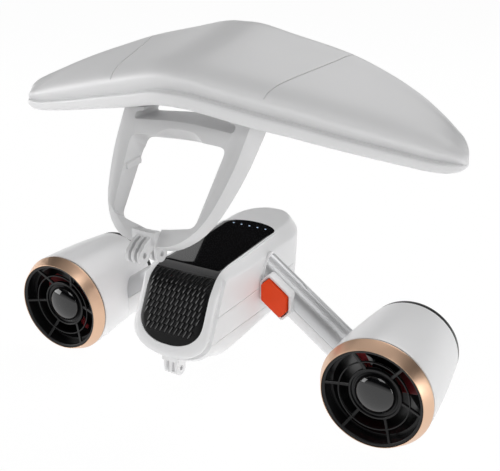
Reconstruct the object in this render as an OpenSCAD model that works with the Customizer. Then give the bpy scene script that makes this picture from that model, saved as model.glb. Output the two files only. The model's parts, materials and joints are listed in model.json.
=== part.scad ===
// Underwater scooter: two ducted thrusters on slanting arms, a central pod and a float unit lifted off above.
// Drawn about a datum on the mid-plane at the trim rings' front edge and the thrusters' axis, then set on
// the floor.

/* [Thrusters] */
// Distance between the two thruster axes
thruster_span = 365.7; // [340:0.1:420]
// Largest radius of the trim ring, which carries the scooter
trim_r = 55.6; // [53:0.1:60]
// Radius of the trim ring's front edge
trim_front_r = 49.6; // [46:0.1:52]
// Depth of the trim ring along the thruster axis
trim_len = 13; // [9:0.5:18]
// Radial width of the trim ring's front lip
trim_lip = 0.6; // [0.4:0.1:4]
// Width of the dark gap between trim ring and duct shell
trim_gap = 1.2; // [0.6:0.1:2]
// Length of the white duct shell
shell_len = 93.8; // [85:0.1:110]
// Radius that the duct shell loses from front to rear
shell_taper = 6.6; // [4:0.1:8]
// Wall of the duct shell
shell_wall = 2.6; // [2:0.1:3.5]
// Inner radius of the duct
duct_r = 42.5; // [38:0.1:43]
// Wall of the duct liner
liner_wall = 2; // [1.5:0.1:2.6]
// Length of the black outlet ring behind the shell
outlet_len = 6; // [4:0.5:12]
// Width of the outlet ring's wall
outlet_wall = 5; // [4:0.1:7]

/* [Intake] */
// Number of guard spokes
spoke_count = 6; // [4:1:10]
// Width of a guard spoke
spoke_w = 3.2; // [2:0.1:5]
// Radius of the thin middle ring of the guard
mid_ring_r = 34.5; // [30:0.1:38]
// Radius of the guard's hub ring
hub_ring_r = 26; // [23:0.1:28]
// Depth from the guard's rim to its hub
guard_dish = 9.4; // [4:0.1:11]
// Radius of the glossy hub dome
dome_r = 20; // [15:0.1:22]
// Height of the hub dome
dome_h = 8; // [5:0.1:10]

/* [Drive] */
// Number of propeller blades
blade_count = 3; // [2:1:6]
// Tip clearance of the propeller in the duct
tip_gap = 2.5; // [1:0.1:5]
// Pitch angle of the blades
blade_pitch = 30; // [20:1:40]
// Chord of a blade
blade_chord = 22; // [14:0.5:26]
// Radius of the propeller hub
prop_hub_r = 9; // [7:0.1:12]
// Radius of the propeller shaft
shaft_r = 3; // [2.5:0.05:3.5]
// Radius of the motor pod
pod_r = 19; // [18:0.1:22]
// Wall of the motor pod
pod_wall = 2; // [1.5:0.1:2.5]
// Length of the motor stator
stator_len = 34; // [24:0.5:38]
// Inner radius of the motor stator
stator_bore_r = 10.5; // [9:0.1:12]
// Outer radius of a bearing
bearing_r = 8; // [7:0.1:9]
// Width of a bearing
bearing_w = 4.5; // [4:0.1:6]
// Number of stator vanes
vane_count = 5; // [3:1:9]

/* [Body] */
// Half the width of the body
body_half = 42; // [38:0.5:48]
// Height of the body's top above the thruster axes
body_top = 96.5; // [90:0.5:104]
// Height of the body's underside above the thruster axes
body_floor = 2; // [-4:0.5:6]
// Front end of the body
nose_y = -58.5; // [-66:0.5:-52]
// Height of the nose tip
nose_z = 28; // [22:0.5:34]
// Lean of the nose face from the vertical
nose_tilt = 26.5; // [20:0.5:32]
// Radius of the bend from nose face to top
bend_r = 35; // [25:0.5:45]
// Rear end of the body
tail_y = 169; // [155:0.5:185]
// Wall of the body shells
body_wall = 3; // [2.4:0.1:4]
// Height of the joint between upper and lower shell
upper_joint_z = 56; // [50:0.5:60]
// Height of the joint between lower shell and keel cover
keel_joint_z = 27; // [22:0.5:30]
// Gap at a joint between shells, filled by the gasket
joint_gap = 0.4; // [0.3:0.05:0.8]

/* [Panel] */
// Rear end of the glossy panel
panel_rear_y = 117; // [105:0.5:125]
// Half the width of the glossy panel
panel_half = 30.5; // [26:0.5:33]
// Half the width of the nose panel
nose_panel_half = 34; // [30:0.5:35]
// Thickness of the panels
panel_t = 1.6; // [1.2:0.1:2.2]
// Gap round the panels
panel_gap = 0.25; // [0.15:0.05:0.5]
// Height of the nose panel's lower end
panel_low_z = 34; // [30:0.5:44]
// Number of light lenses
led_count = 5; // [3:1:7]
// Distance between light lenses
led_pitch = 9.6; // [7:0.1:10]
// Radius of a light lens
led_r = 0.9; // [0.8:0.05:1.8]
// Distance of the lenses from the panel's rear end
led_inset = 13.5; // [11:0.5:20]

/* [Arms] */
// Slope of the arms below the horizontal
arm_slope = 36; // [30:0.5:40]
// Distance of the arm axis behind the trim ring's front edge
arm_y = 71; // [64:0.5:78]
// Height of the arm axis where it leaves the body
arm_root_z = 64; // [60:0.5:68]
// Half the arm's section across its slope
arm_a = 19.2; // [17:0.1:20]
// Half the arm's section from front to rear
arm_b = 15.6; // [14:0.1:17]
// Wall of the arm halves
arm_wall = 2.5; // [2:0.1:3]
// Thickness of the collar's flange on the body
flange_t = 2.2; // [2.2:0.1:4]
// Margin of the flange round the arm
flange_margin = 1.2; // [1:0.1:4]
// Length of the grip plate
grip_len = 62; // [50:0.5:70]
// Half the width of the grip plate
grip_half = 12; // [8:0.1:13]
// Turn of the grip plate from the arm's top towards the rear
grip_turn = 38; // [20:1:50]
// Thickness of the grip plate
grip_t = 1.4; // [1:0.1:1.8]

/* [Triggers] */
// Width of a trigger away from the body
trigger_w = 27.6; // [24:0.1:32]
// Half the height of a trigger across the arm
trigger_half = 13; // [9:0.1:14]
// Depth of a trigger from its front to its rear face
trigger_d = 8.5; // [8:0.1:12]
// Distance that the trigger stands out of its housing
trigger_proud = 3.5; // [3:0.1:6]
// Height by which the trigger's upper edge lies lower than its lower edge's mirror image
trigger_trim = 3; // [0:0.1:4]
// Width cut off the trigger's two sharp corners
trigger_cut = 7; // [5:0.1:9]
// Height cut off the trigger's two sharp corners
trigger_drop = 12.4; // [11:0.1:16]
// Gap round the trigger in its housing
trigger_gap = 0.9; // [0.9:0.1:1.6]
// Extra room past the trigger's outer end, which swings outward as it is pressed
trigger_swing = 0.6; // [0.4:0.1:1.2]
// Wall of the trigger housing
housing_wall = 2.2; // [2:0.1:3]
// Depth of the trigger housing
housing_d = 13.5; // [12.5:0.1:15]
// Radius of the trigger pin
pin_r = 1.5; // [1.2:0.05:1.8]

/* [Camera mounts] */
// Width of one prong
prong_t = 3; // [2.8:0.05:3.2]
// Gap between prongs
prong_gap = 3; // [3:0.05:3.4]
// Radius of the prongs' round ends
prong_r = 7.5; // [7:0.1:8]
// Radius of the thumbscrew bore
prong_bore_r = 2.5; // [2.4:0.05:2.7]
// Distance of the body mount's bore behind the nose end
mount_back = 16.5; // [14:0.5:20]
// Height of the body mount's bore above the thruster axes
mount_z = 3.5; // [0:0.5:5]

/* [Float hull] */
// Half the width of the float hull
hull_half = 237; // [215:1:238]
// Foremost point of the hull
hull_front_y = -37.5; // [-40:0.5:-28]
// Sweep of the front edge from the middle to the tips
hull_sweep = 78; // [70:0.5:95]
// Height of the front edge at the middle
hull_edge_z = 255; // [250:0.5:262]
// Drop of the front edge from the middle to the tips
hull_droop = 51.5; // [46:0.5:54]
// Height of the hull's crown
hull_crown_z = 309.5; // [300:0.5:314]
// Drop of the crown from the middle to the tips
hull_crown_drop = 71; // [62:0.5:74]
// Height of the hull's front face
hull_face_h = 35; // [30:0.5:38]
// Rear end of the hull at the middle
hull_rear_y = 130; // [120:0.5:140]
// Wall of the hull shells
hull_wall = 2.8; // [2.2:0.1:3.5]
// Height of the hull's joint above its front edge, at the middle
hull_joint_h = 12; // [10:0.5:14]

/* [Bracket] */
// Half the width of the bracket's top
bracket_half = 66; // [60:0.5:70]
// Width of the bracket's frame
bracket_rim = 17.5; // [14:0.5:20]
// Lean of the bracket's front face from the vertical
bracket_tilt = 35.5; // [32:0.5:38]
// Depth of the bracket at its top, front to rear
bracket_d = 33; // [28:0.5:38]
// Height of the bracket's lowest point
bracket_low_z = 146; // [142:0.5:150]
// Height of the bracket's window sill
window_low_z = 158; // [155:0.5:161]
// Slope of the window's top down to the rear
window_slope = 20; // [16:1:24]
// Slope of the finger hollow over the window
hollow_slope = 60; // [56:1:64]
// Height of the bracket's window top
window_top_z = 223; // [219:0.5:225]
// Half the width of the slot
slot_half = 51; // [44:0.5:55]
// Height of the slot's lower edge
slot_z = 234; // [232:0.1:235]
// Half the width of the bracket block
block_half = 12; // [10:0.1:14]
// Front mount's bore, ahead of the datum
front_bore_y = -90; // [-93:0.5:-86]
// Height of the front mount's bore
front_bore_z = 139; // [136:0.5:142]
// Rear ear's bore, ahead of the datum
ear_bore_y = -61; // [-63:0.5:-59]
// Height of the rear ear's bore
ear_bore_z = 129; // [126:0.5:131]

/* [Hidden] */
$fn = 64;
// Clearances: running fit of pins and shafts, and seats of fixed pieces
run_gap = 0.05;
seat_gap = 0.15;
corner_steps = 5;

// Shell places along a thruster axis, from the trim ring's front edge
shell_y = trim_len + trim_gap;
shell_end = shell_y + shell_len;
shell_front_r = trim_r - 0.4;
shell_rear_r = shell_front_r - shell_taper;
outlet_end = shell_end + outlet_len;
liner_r = duct_r + liner_wall;
trim_in_r = trim_front_r - trim_lip;
guard_rim_r = trim_in_r - seat_gap;

// Drive places along a thruster axis
guard_front = 0.6;
guard_t = 4;
hub_plate_y = guard_front + guard_dish;
hub_plate_t = 3;
blade_r = duct_r - tip_gap;
spinner_y = hub_plate_y + hub_plate_t + 5;
prop_hub_y = spinner_y + 6;
prop_hub_len = max(18, blade_chord * sin(blade_pitch) + 4);
prop_end = prop_hub_y + prop_hub_len;
seal_y = prop_end + 1;
seal_w = 3;
front_bearing_y = seal_y + seal_w;
pod_y = seal_y;
motor_y = front_bearing_y + bearing_w + 1;
motor_end = motor_y + stator_len;
rear_bearing_y = motor_end + 1;
pod_end = rear_bearing_y + bearing_w;
rotor_r = stator_bore_r - 0.5;

// Set on the floor, with the box's middle over the origin
front_y = front_bore_y - prong_r;
mid_y = (front_y + tail_y) / 2;

// Body construction: the roof line runs up the nose face, round a bend and along the top
corner_y = nose_y + (body_top - nose_z) * tan(nose_tilt);
bend_angle = 90 - nose_tilt;
bend_reach = bend_r * tan(bend_angle / 2);
bend_y = corner_y + bend_reach;
bend_z = body_top - bend_r;
face_top = [bend_y - bend_r * sin(bend_angle), bend_z + bend_r * cos(bend_angle)];
nose_half = body_half * 0.67;
nose_wall = 2.2;
tail_half = body_half * 0.5;
shoulder_w = 11;
shoulder_h = 9;
bilge_w = 22;
bilge_h = 25;

// Arm construction: local X runs out along the arm, local Z across its slope
root_x = body_half + flange_t;
trigger_x0 = root_x + trigger_gap;
trigger_x1 = trigger_x0 + trigger_w;
trigger_rise = trigger_half / cos(arm_slope);
housing_front = arm_y - arm_b - 5.4;
housing_back = housing_front + housing_d;
pocket_floor = housing_back - housing_wall;
trigger_front = housing_front - trigger_proud;
trigger_back = trigger_front + trigger_d;
pin_x = trigger_x0 + pin_r + 2.6;
pin_y = trigger_back + pin_r + 0.6;
lug_r = pin_r + 1.7;
lug_half = 7;
sensor_t = 1.4;

// Camera mounts
mount_w = 3 * prong_t + 2 * prong_gap;
mount_y = nose_y + mount_back;
mount_base_half = mount_w / 2 + 2;
mount_base_z = mount_z + prong_r + 1;
mount_base_top = mount_base_z + 9;

// Bracket construction, under a hull whose lines are rounded at the middle over a short run
hull_soft = 24;
bracket_pitch = tan(bracket_tilt);
bracket_face_y = -29;
bracket_face_z = 216;
catch_x = -bracket_half + bracket_rim + 6.5;
post_x = (bracket_half + slot_half) / 2;
pad_z = hull_edge(post_x) - 2;
pad_top = pad_z + hull_joint_h - 2;
pad_half = (bracket_half - slot_half) / 2 - 0.5;
pad_y0 = bracket_face_y + (pad_z - bracket_face_z) * bracket_pitch + 4;
pad_len = bracket_d - 18;
hull_screw_r = 2;

// Moves a piece from the datum to its place over the floor
module placed() translate([0, -mid_y, trim_r]) children();

// Draws a right-hand piece on either side
module on_side(side) placed() mirror([side < 0 ? 1 : 0, 0, 0]) children();

// Turns a piece drawn along Z so that it runs rearwards on the right thruster's axis
module on_axis(side) on_side(side) translate([thruster_span / 2, 0, 0]) rotate([-90, 0, 0]) children();

function unit(v) = v / norm(v);

// Points of a soft corner at q, between the edges to p and s, which starts d along each edge
function soft_corner(p, q, s, d, steps) =
    let (
        from = q + unit(p - q) * min(d, norm(p - q) * 0.48),
        to = q + unit(s - q) * min(d, norm(s - q) * 0.48)
    )
    [for (k = [0 : steps]) let (t = k / steps) (1 - t) * (1 - t) * from + 2 * t * (1 - t) * q + t * t * to];

// Outline through corners given as [u, v, d], each softened over its own length d
function soft_outline(c, steps = corner_steps) =
    let (n = len(c))
    [for (i = [0 : n - 1], p = soft_corner(
        [c[(i + n - 1) % n][0], c[(i + n - 1) % n][1]],
        [c[i][0], c[i][1]],
        [c[(i + 1) % n][0], c[(i + 1) % n][1]],
        c[i][2], steps)) p];

function ellipse_outline(a, b, steps = 40) =
    [for (k = [0 : steps - 1]) [a * cos(360 * k / steps), b * sin(360 * k / steps)]];

// Corners of an anticlockwise outline, all edges moved inwards by i
function inset(c, i) =
    let (n = len(c))
    [for (k = [0 : n - 1])
        let (
            p = [c[(k + n - 1) % n][0], c[(k + n - 1) % n][1]],
            q = [c[k][0], c[k][1]],
            s = [c[(k + 1) % n][0], c[(k + 1) % n][1]],
            u = unit(q - p),
            v = unit(s - q),
            a = [-u[1], u[0]],
            b = [-v[1], v[0]],
            m = q + (a + b) * i / (1 + a * b)
        )
        [m[0], m[1], max(0.5, c[k][2] - i * 0.4)]];

// Corners given for the right half, from the bottom up, and their mirror image
function both_halves(c) = concat(c, [for (k = [len(c) - 1 : -1 : 0]) [-c[k][0], c[k][1], c[k][2]]]);

// Prisms of an outline drawn in Y and Z, in X and Z, or in X and Y
module along_x(half, outline) rotate([90, 0, 90]) linear_extrude(2 * half, center = true) polygon(outline);
module along_y(from, to, outline)
    translate([0, to, 0]) rotate([90, 0, 0]) linear_extrude(to - from) polygon(outline);
module along_z(from, to, outline) translate([0, 0, from]) linear_extrude(to - from) polygon(outline);

// Body lines from the side, the front and above, with the nose face set back by a distance
function side_corners(back) = [
    [nose_y + back, nose_z, 5],
    [nose_y + back + 12, nose_z - 13, 9],
    [nose_y + 54, body_floor, 25],
    [tail_y - 50, body_floor, 28],
    [tail_y - 10, nose_z, 20],
    [tail_y, body_top - 32, 13],
    [tail_y, body_top - 6, 8],
    [tail_y - 46, body_top, 20],
    [corner_y + back, body_top, bend_reach],
];
section_corners = both_halves([
    [body_half - bilge_w, body_floor, 16],
    [body_half, body_floor + bilge_h, 16],
    [body_half, body_top - shoulder_h, 5],
    [body_half - shoulder_w, body_top, 5],
]);
plan_corners = both_halves([
    [nose_half, nose_y, 10],
    [body_half, nose_y + 20, 14],
    [body_half, tail_y - 32, 25],
    [tail_half, tail_y, 20],
]);

// Body as a whole, drawn in by i: the three outlines together
module body_form(i, back) {
    intersection() {
        along_x(body_half + 5, soft_outline(inset(side_corners(back), i), 6));
        along_y(nose_y - 5, tail_y + 5, soft_outline(inset(section_corners, i), 4));
        along_z(body_floor - 5, body_top + 5, soft_outline(inset(plan_corners, i), 4));
    }
}

// Route of the panels along the roof line, from the rear forward, sunk by i
panel_top_len = panel_rear_y - bend_y;
panel_bend_len = bend_r * bend_angle * PI / 180;
panel_face_len = (face_top[1] - panel_low_z) / cos(nose_tilt);
panel_len = panel_top_len + panel_bend_len + panel_face_len;
panel_split = panel_top_len + 0.39 * panel_bend_len;
panel_rear_round = 17.5;
panel_low_round = 18;

function panel_point(s, i) =
    s < panel_top_len ? [panel_rear_y - s, body_top - i]
    : s < panel_top_len + panel_bend_len
        ? let (a = (s - panel_top_len) / panel_bend_len * bend_angle)
            [bend_y - (bend_r - i) * sin(a), bend_z + (bend_r - i) * cos(a)]
    : let (t = s - panel_top_len - panel_bend_len)
        face_top + t * [-sin(nose_tilt), -cos(nose_tilt)] + i * [cos(nose_tilt), -sin(nose_tilt)];

// Places along the route from s0 to s1, with steps round the bend
function panel_stops(s0, s1) = concat(
    [s0],
    [for (k = [0 : 10]) let (s = panel_top_len + panel_bend_len * k / 10) if (s > s0 + 1 && s < s1 - 1) s],
    [s1]
);

// Side view of a strip from s0 to s1, between the depths i0 and i1
function panel_band(s0, s1, i0, i1) =
    let (stops = panel_stops(s0, s1), n = len(stops))
    concat([for (s = stops) panel_point(s, i0)], [for (k = [n - 1 : -1 : 0]) panel_point(stops[k], i1)]);

// Panel edge from above: round behind and a little wider on the nose, grown by g
function panel_plan(g) = concat(
    [for (a = [0 : 9 : 180]) [
        (panel_half + g) * cos(a),
        panel_rear_y - panel_rear_round + (panel_rear_round + g) * sin(a)
    ]],
    [[-panel_half - g, bend_y + 8], [-nose_panel_half - g, bend_y - 28], [-nose_panel_half - g, nose_y - 30]],
    [[nose_panel_half + g, nose_y - 30], [nose_panel_half + g, bend_y - 28], [panel_half + g, bend_y + 8]]
);

// Panel edge square to the nose face, from its round lower end up
function panel_face(g) =
    let (w = nose_panel_half + g, h = panel_low_round + g)
    concat(
        [[w, 400], [-w, 400]],
        [for (a = [0 : 9 : 180]) [
            -w * sign(cos(a)) * pow(abs(cos(a)), 0.8),
            panel_low_round - h * pow(sin(a), 0.8)
        ]]
    );

module panel_strip(s0, s1, i0, i1, g) {
    low = panel_point(panel_len, 0);
    intersection() {
        along_x(nose_panel_half + 5, panel_band(s0, s1, i0, i1));
        along_z(nose_z - 20, body_top + 20, panel_plan(g));
        translate([0, low[0], low[1]]) rotate([90 - nose_tilt, 0, 0]) along_z(-300, 60, panel_face(g));
    }
}

module panel_pocket() panel_strip(-2, panel_len + 2, -6, panel_t + 0.3, panel_gap);

module led_places() {
    for (k = [0 : led_count - 1])
        translate([(k - (led_count - 1) / 2) * led_pitch, panel_rear_y - led_inset, 0]) children();
}

// Grooves down both sides of the nose, where the float's bracket clips on
groove_w = 6;
groove_depth = 1.6;
groove_back = 14;
module nose_grooves() {
    for (x = [-1, 1])
        translate([x * (body_half + 5 - groove_depth), nose_y + groove_back, nose_z])
            rotate([-nose_tilt, 0, 0]) translate([-5, 0, -8]) cube([10, groove_w, 72]);
}

board_z = body_top - body_wall - 10;
board_t = 1.6;
board_half = 22;
board_y0 = 30;
board_y1 = panel_rear_y - led_inset + 8;
post_r = 3;
battery_side = 18;
battery_half = body_half - battery_side;
battery_y0 = 0;
battery_y1 = tail_y - 47;
battery_z0 = body_floor + body_wall + 7;
battery_z1 = upper_joint_z - 12;
screw_r = 1.6;
screw_head_r = 3;
screw_head_h = 2.4;
screw_len = 12;
screw_x = body_half - 10;
screw_ys = [6, 104];
screw_seat_z = keel_joint_z - 5;

module screw_places() {
    for (x = [-screw_x, screw_x], y = screw_ys) translate([x, y, screw_seat_z]) children();
}

module board_posts() {
    for (x = [-board_half + 5, board_half - 5], y = [board_y0 + 6, board_y1 - 22])
        translate([x, y, board_z + board_t]) cylinder(r = post_r, h = body_top - 2.5 - board_z - board_t);
}

module mount_socket() {
    w = mount_base_half + seat_gap;
    d = prong_r + seat_gap;
    translate([-w, mount_y - d, body_floor - 10])
        cube([2 * w, 2 * d, mount_base_top - body_floor + 10 + seat_gap]);
}

// Hollow body with its pockets, before it is parted into shells
module body_skin() {
    difference() {
        body_form(0, 0);
        body_form(body_wall, nose_wall);
        panel_pocket();
        nose_grooves();
        for (side = [-1, 1]) mirror([side < 0 ? 1 : 0, 0, 0]) cable_run(cable_r + 0.3, 0);
    }
}

module slab(z0, z1) translate([-100, -200, z0]) cube([200, 500, z1 - z0]);

module body_upper_shell() {
    color("whitesmoke") placed() difference() {
        union() {
            intersection() {
                body_skin();
                slab(upper_joint_z + joint_gap / 2, body_top + 20);
            }
            board_posts();
        }
        led_places() translate([0, 0, board_z]) cylinder(r = led_r + seat_gap, h = 40);
    }
}

module body_lower_shell() {
    lug = screw_x - battery_half - 3;
    color("gainsboro") placed() difference() {
        union() {
            intersection() {
                body_skin();
                slab(keel_joint_z + seat_gap, upper_joint_z - joint_gap / 2);
            }
            for (side = [-1, 1], y = screw_ys) mirror([side < 0 ? 1 : 0, 0, 0])
                translate([screw_x - lug, y - 5, keel_joint_z + seat_gap])
                    cube([body_half - 1.5 - screw_x + lug, 10, screw_len - 2]);
        }
        screw_places() cylinder(r = screw_r + run_gap, h = screw_len + seat_gap);
    }
}

module keel_cover() {
    rail_x = battery_half / 3;
    color("gainsboro") placed() difference() {
        union() {
            intersection() {
                body_skin();
                slab(body_floor - 20, keel_joint_z - seat_gap);
            }
            for (x = [-rail_x - 3, rail_x - 3])
                translate([x, battery_y0 + 6, body_floor + 2])
                    cube([6, battery_y1 - battery_y0 - 22, battery_z0 - body_floor - 2]);
            screw_places() translate([0, 0, -0.5])
                cylinder(r = screw_r + 2.6, h = keel_joint_z - seat_gap - screw_seat_z + 0.5);
            translate([-mount_base_half - 3, mount_y - prong_r, mount_base_top - 2])
                cube([2 * mount_base_half + 6, 2 * prong_r + 5, 5]);
        }
        mount_socket();
        screw_places() translate([0, 0, -40]) cylinder(r = screw_head_r + seat_gap, h = 40);
        screw_places() cylinder(r = screw_r + run_gap, h = screw_len);
    }
}

module control_panel() {
    color("black") placed() difference() {
        panel_strip(0, panel_split, 0.2, panel_t, 0);
        led_places() translate([0, 0, board_z]) cylinder(r = led_r + run_gap, h = 40);
    }
}

module nose_panel() {
    color("black") placed() panel_strip(panel_split + 0.3, panel_len, 0.2, panel_t, 0);
}

module led_lenses() {
    color("lightcyan") placed() led_places()
        translate([0, 0, board_z + board_t]) cylinder(r = led_r, h = body_top - 0.1 - board_z - board_t);
}

module control_board() {
    color("darkgreen") placed()
        translate([-board_half, board_y0, board_z]) cube([2 * board_half, board_y1 - board_y0, board_t]);
}

module battery_pack() {
    color("dimgray") placed()
        translate([-battery_half, battery_y0, battery_z0])
            cube([2 * battery_half, battery_y1 - battery_y0, battery_z1 - battery_z0]);
}

// Rubber loop that fills the joint between the upper and lower shell
module shell_gasket() {
    front = nose_y + (upper_joint_z - nose_z) * tan(nose_tilt) + (panel_t + 0.6) / cos(nose_tilt);
    corners = both_halves([
        [body_half * 0.8, front, 6],
        [body_half, front + 12, 6],
        [body_half, tail_y - 32, 25],
        [tail_half, tail_y, 20],
    ]);
    color("black") placed() translate([0, 0, upper_joint_z - joint_gap / 2])
        linear_extrude(joint_gap) difference() {
            polygon(soft_outline(inset(corners, groove_depth + 0.3), 4));
            polygon(soft_outline(inset(corners, body_wall - 0.2), 4));
        }
}

// Prongs of a camera mount: round ends with a bore across, about the bore's axis along X
module prong_plates(xs, reach) {
    for (x = xs)
        translate([x, 0, 0]) rotate([90, 0, 90]) linear_extrude(prong_t, center = true) {
            circle(r = prong_r);
            polygon(reach);
        }
}

module prong_bore(w) rotate([0, 90, 0]) cylinder(r = prong_bore_r, h = w + 2, center = true);

module camera_mount() {
    rise = mount_base_z - mount_z;
    color("gainsboro") placed() difference() {
        union() {
            translate([0, mount_y, mount_z])
                prong_plates([-prong_t - prong_gap, 0, prong_t + prong_gap],
                    [[-prong_r, 0], [prong_r, 0], [prong_r, rise + 1], [-prong_r, rise + 1]]);
            translate([-mount_base_half, mount_y - prong_r, mount_base_z])
                cube([2 * mount_base_half, 2 * prong_r, mount_base_top - mount_base_z]);
        }
        translate([0, mount_y, mount_z]) prong_bore(mount_w);
    }
}

module housing_screws() {
    color("silver") placed() screw_places() {
        translate([0, 0, -screw_head_h]) cylinder(r = screw_head_r, h = screw_head_h);
        cylinder(r = screw_r, h = screw_len);
    }
}

// Arm frame: local X out along the slope from the body's wall, local Z across it
module arm_frame() translate([body_half, arm_y, arm_root_z]) rotate([0, arm_slope, 0]) children();

// Length of the arm to just short of its nearest point to the thruster's axis
arm_near = (thruster_span / 2 - body_half) * cos(arm_slope) + arm_root_z * sin(arm_slope);
arm_reach = arm_near - 6;

module arm_prism(a, b, low, high) {
    arm_frame() rotate([90, 0, 90]) linear_extrude(arm_reach)
        intersection() {
            polygon([for (p = ellipse_outline(b, a)) p]);
            translate([-50, low]) square([100, high - low]);
        }
}

// Space taken by a thruster's outer skin, grown by a gap
module thruster_space(grow) {
    translate([thruster_span / 2, 0, 0]) rotate([-90, 0, 0]) rotate_extrude()
        polygon(concat([[0, -5]], [for (p = shell_outline()) [p[0] + grow, p[1]]], [[0, outlet_end + 5]]));
}

// Side of the arm's root that the body and its flange take up
module root_space(gap) translate([-100, -100, -100]) cube([100 + root_x + gap, 400, 400]);

module arm_half(low, high) {
    difference() {
        arm_prism(arm_a, arm_b, low, high);
        arm_prism(arm_a - arm_wall, arm_b - arm_wall, low - 1, high + 1);
        thruster_space(seat_gap);
        root_space(0);
        housing_block(seat_gap);
        children();
    }
}

module arm_upper(side) {
    color("silver") on_side(side) arm_half(seat_gap / 2, arm_a + 1) grip_cut(0.2, grip_t + 0.2);
}

module arm_lower(side) {
    color("whitesmoke") on_side(side) arm_half(-arm_a - 1, -seat_gap / 2);
}

// Grip plate: an oblong of the arm's own surface, let in by its thickness
grip_x0 = 30;
module grip_cut(grow, depth) {
    intersection() {
        arm_frame() rotate([-grip_turn, 0, 0]) translate([grip_x0, 0, 0]) linear_extrude(60) {
            translate([grip_half, 0]) circle(r = grip_half + grow);
            translate([grip_len - grip_half, 0]) circle(r = grip_half + grow);
            translate([grip_half, -grip_half - grow])
                square([grip_len - 2 * grip_half, 2 * (grip_half + grow)]);
        }
        difference() {
            arm_prism(arm_a + 3, arm_b + 3, -arm_a - 4, arm_a + 4);
            arm_prism(arm_a - depth, arm_b - depth, -arm_a, arm_a);
        }
    }
}

module grip_plate(side) {
    color("darkgray") on_side(side) intersection() {
        grip_cut(0, grip_t);
        arm_prism(arm_a, arm_b, seat_gap / 2, arm_a + 1);
    }
}

// Height of the arm's axis at x
function axis_z(x) = arm_root_z - (x - body_half) * tan(arm_slope);

// Corners in X and Z of the trigger's front, its outer end moved out by more: long edges along the slope of
// the arm, upright ends and the two sharp corners cut off
function trigger_corners(more) =
    let (x0 = trigger_x0, x1 = trigger_x1 + more, fall = trigger_cut * tan(arm_slope))
    let (low = axis_z(x1) - trigger_rise, top = trigger_rise - trigger_trim, high = axis_z(x0) + top)
    [
        [x0, axis_z(x0) - trigger_rise, 1.5],
        [x1 - trigger_cut, low + fall, 1.5],
        [x1, low + trigger_drop, 1.5],
        [x1, axis_z(x1) + top, 1.5],
        [x0 + trigger_cut, high - fall, 1.5],
        [x0, high - trigger_drop, 1.5],
    ];

module trigger_prism(more, grow, y0, y1) along_y(y0, y1, soft_outline(inset(trigger_corners(more), -grow)));

module housing_block(gap) {
    trigger_prism(trigger_swing, trigger_gap + housing_wall + gap, housing_front - gap, housing_back + gap);
}

// Ends of the pin in the housing's walls, over and under the trigger
pin_share = (pin_x - trigger_x0) / trigger_cut;
pin_cut = trigger_drop * (1 - pin_share) + trigger_cut * tan(arm_slope) * pin_share;
pin_high = axis_z(trigger_x0) + trigger_rise - trigger_trim - pin_cut;
pin_low = axis_z(pin_x) - trigger_rise;
pin_mid_z = (pin_high + pin_low) / 2;
pin_half = (pin_high - pin_low) / 2 + trigger_gap + housing_wall * 0.8;

// Spring round the pin, under the trigger's lug
spring_h = 4;
spring_gap = 0.3;
spring_r = pin_r + 1;
spring_z = pin_mid_z - lug_half - spring_gap - spring_h;

module arm_collar(side) {
    flange_z = axis_z(body_half + flange_t / 2);
    color("whitesmoke") on_side(side) difference() {
        union() {
            translate([body_half, arm_y, flange_z]) rotate([90, 0, 90]) linear_extrude(flange_t)
                polygon(ellipse_outline(arm_b + flange_margin, arm_a / cos(arm_slope) + flange_margin));
            housing_block(0);
        }
        translate([body_half - 20, 0, 0]) cube([20, 120, 120]);
        trigger_prism(trigger_swing, trigger_gap, housing_front - 1, pocket_floor);
        translate([pin_x, pin_y, pin_mid_z])
            cylinder(r = pin_r + run_gap, h = 2 * pin_half + 0.2, center = true);
        cable_run(cable_r + 0.3, 0);
    }
}

module trigger(side) {
    color("orangered") on_side(side) difference() {
        union() {
            trigger_prism(0, 0, trigger_front, trigger_back);
            translate([pin_x, pin_y, pin_mid_z]) {
                cylinder(r = lug_r, h = 2 * lug_half, center = true);
                translate([-lug_r, trigger_back - pin_y - 2, -lug_half])
                    cube([2 * lug_r, pin_y - trigger_back + 2, 2 * lug_half]);
            }
        }
        translate([pin_x, pin_y, pin_mid_z]) cylinder(r = pin_r + run_gap, h = 60, center = true);
        translate([pin_x, pin_y, spring_z - spring_gap])
            cylinder(r = spring_r + 2 * spring_gap, h = spring_h + 2 * spring_gap);
    }
}

module trigger_pin(side) {
    color("silver") on_side(side) translate([pin_x, pin_y, pin_mid_z])
        cylinder(r = pin_r, h = 2 * pin_half, center = true);
}

module trigger_spring(side) {
    color("gray") on_side(side) translate([pin_x, pin_y, spring_z]) difference() {
        cylinder(r = spring_r, h = spring_h);
        translate([0, 0, -1]) cylinder(r = pin_r + 0.2, h = spring_h + 2);
    }
}

module trigger_sensor(side) {
    x = trigger_x1 - 8;
    z = axis_z(x);
    color("darkgreen") on_side(side)
        translate([x - 4, pocket_floor - sensor_t, z - 5]) cube([8, sensor_t, 10]);
}

// Cable through an arm, from the body's inside into the thruster's shell, with its end moved by more
cable_r = 2.5;
cable_in = 8;
module cable_run(r, more) {
    arm_frame() translate([-cable_in, 0, -arm_a + arm_wall + cable_r + 1]) rotate([0, 90, 0])
        cylinder(r = r, h = arm_near - 20 + cable_in + more);
}

module thruster_cables() {
    color("black") for (side = [-1, 1]) on_side(side) cable_run(cable_r, 0);
}

// Outer line of a duct shell, from front to rear, as [radius, place]
function shell_outline() =
    [for (k = [0 : 10]) let (t = k / 10)
        [shell_front_r - shell_taper * pow(t, 1.7), shell_y + shell_len * t]];

module duct_shell(side) {
    line = shell_outline();
    color("whitesmoke") difference() {
        on_axis(side) rotate_extrude()
            polygon(concat(line, [for (k = [10 : -1 : 0]) [line[k][0] - shell_wall, line[k][1]]]));
        on_side(side) cable_run(cable_r + 0.3, 2);
    }
}

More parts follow.
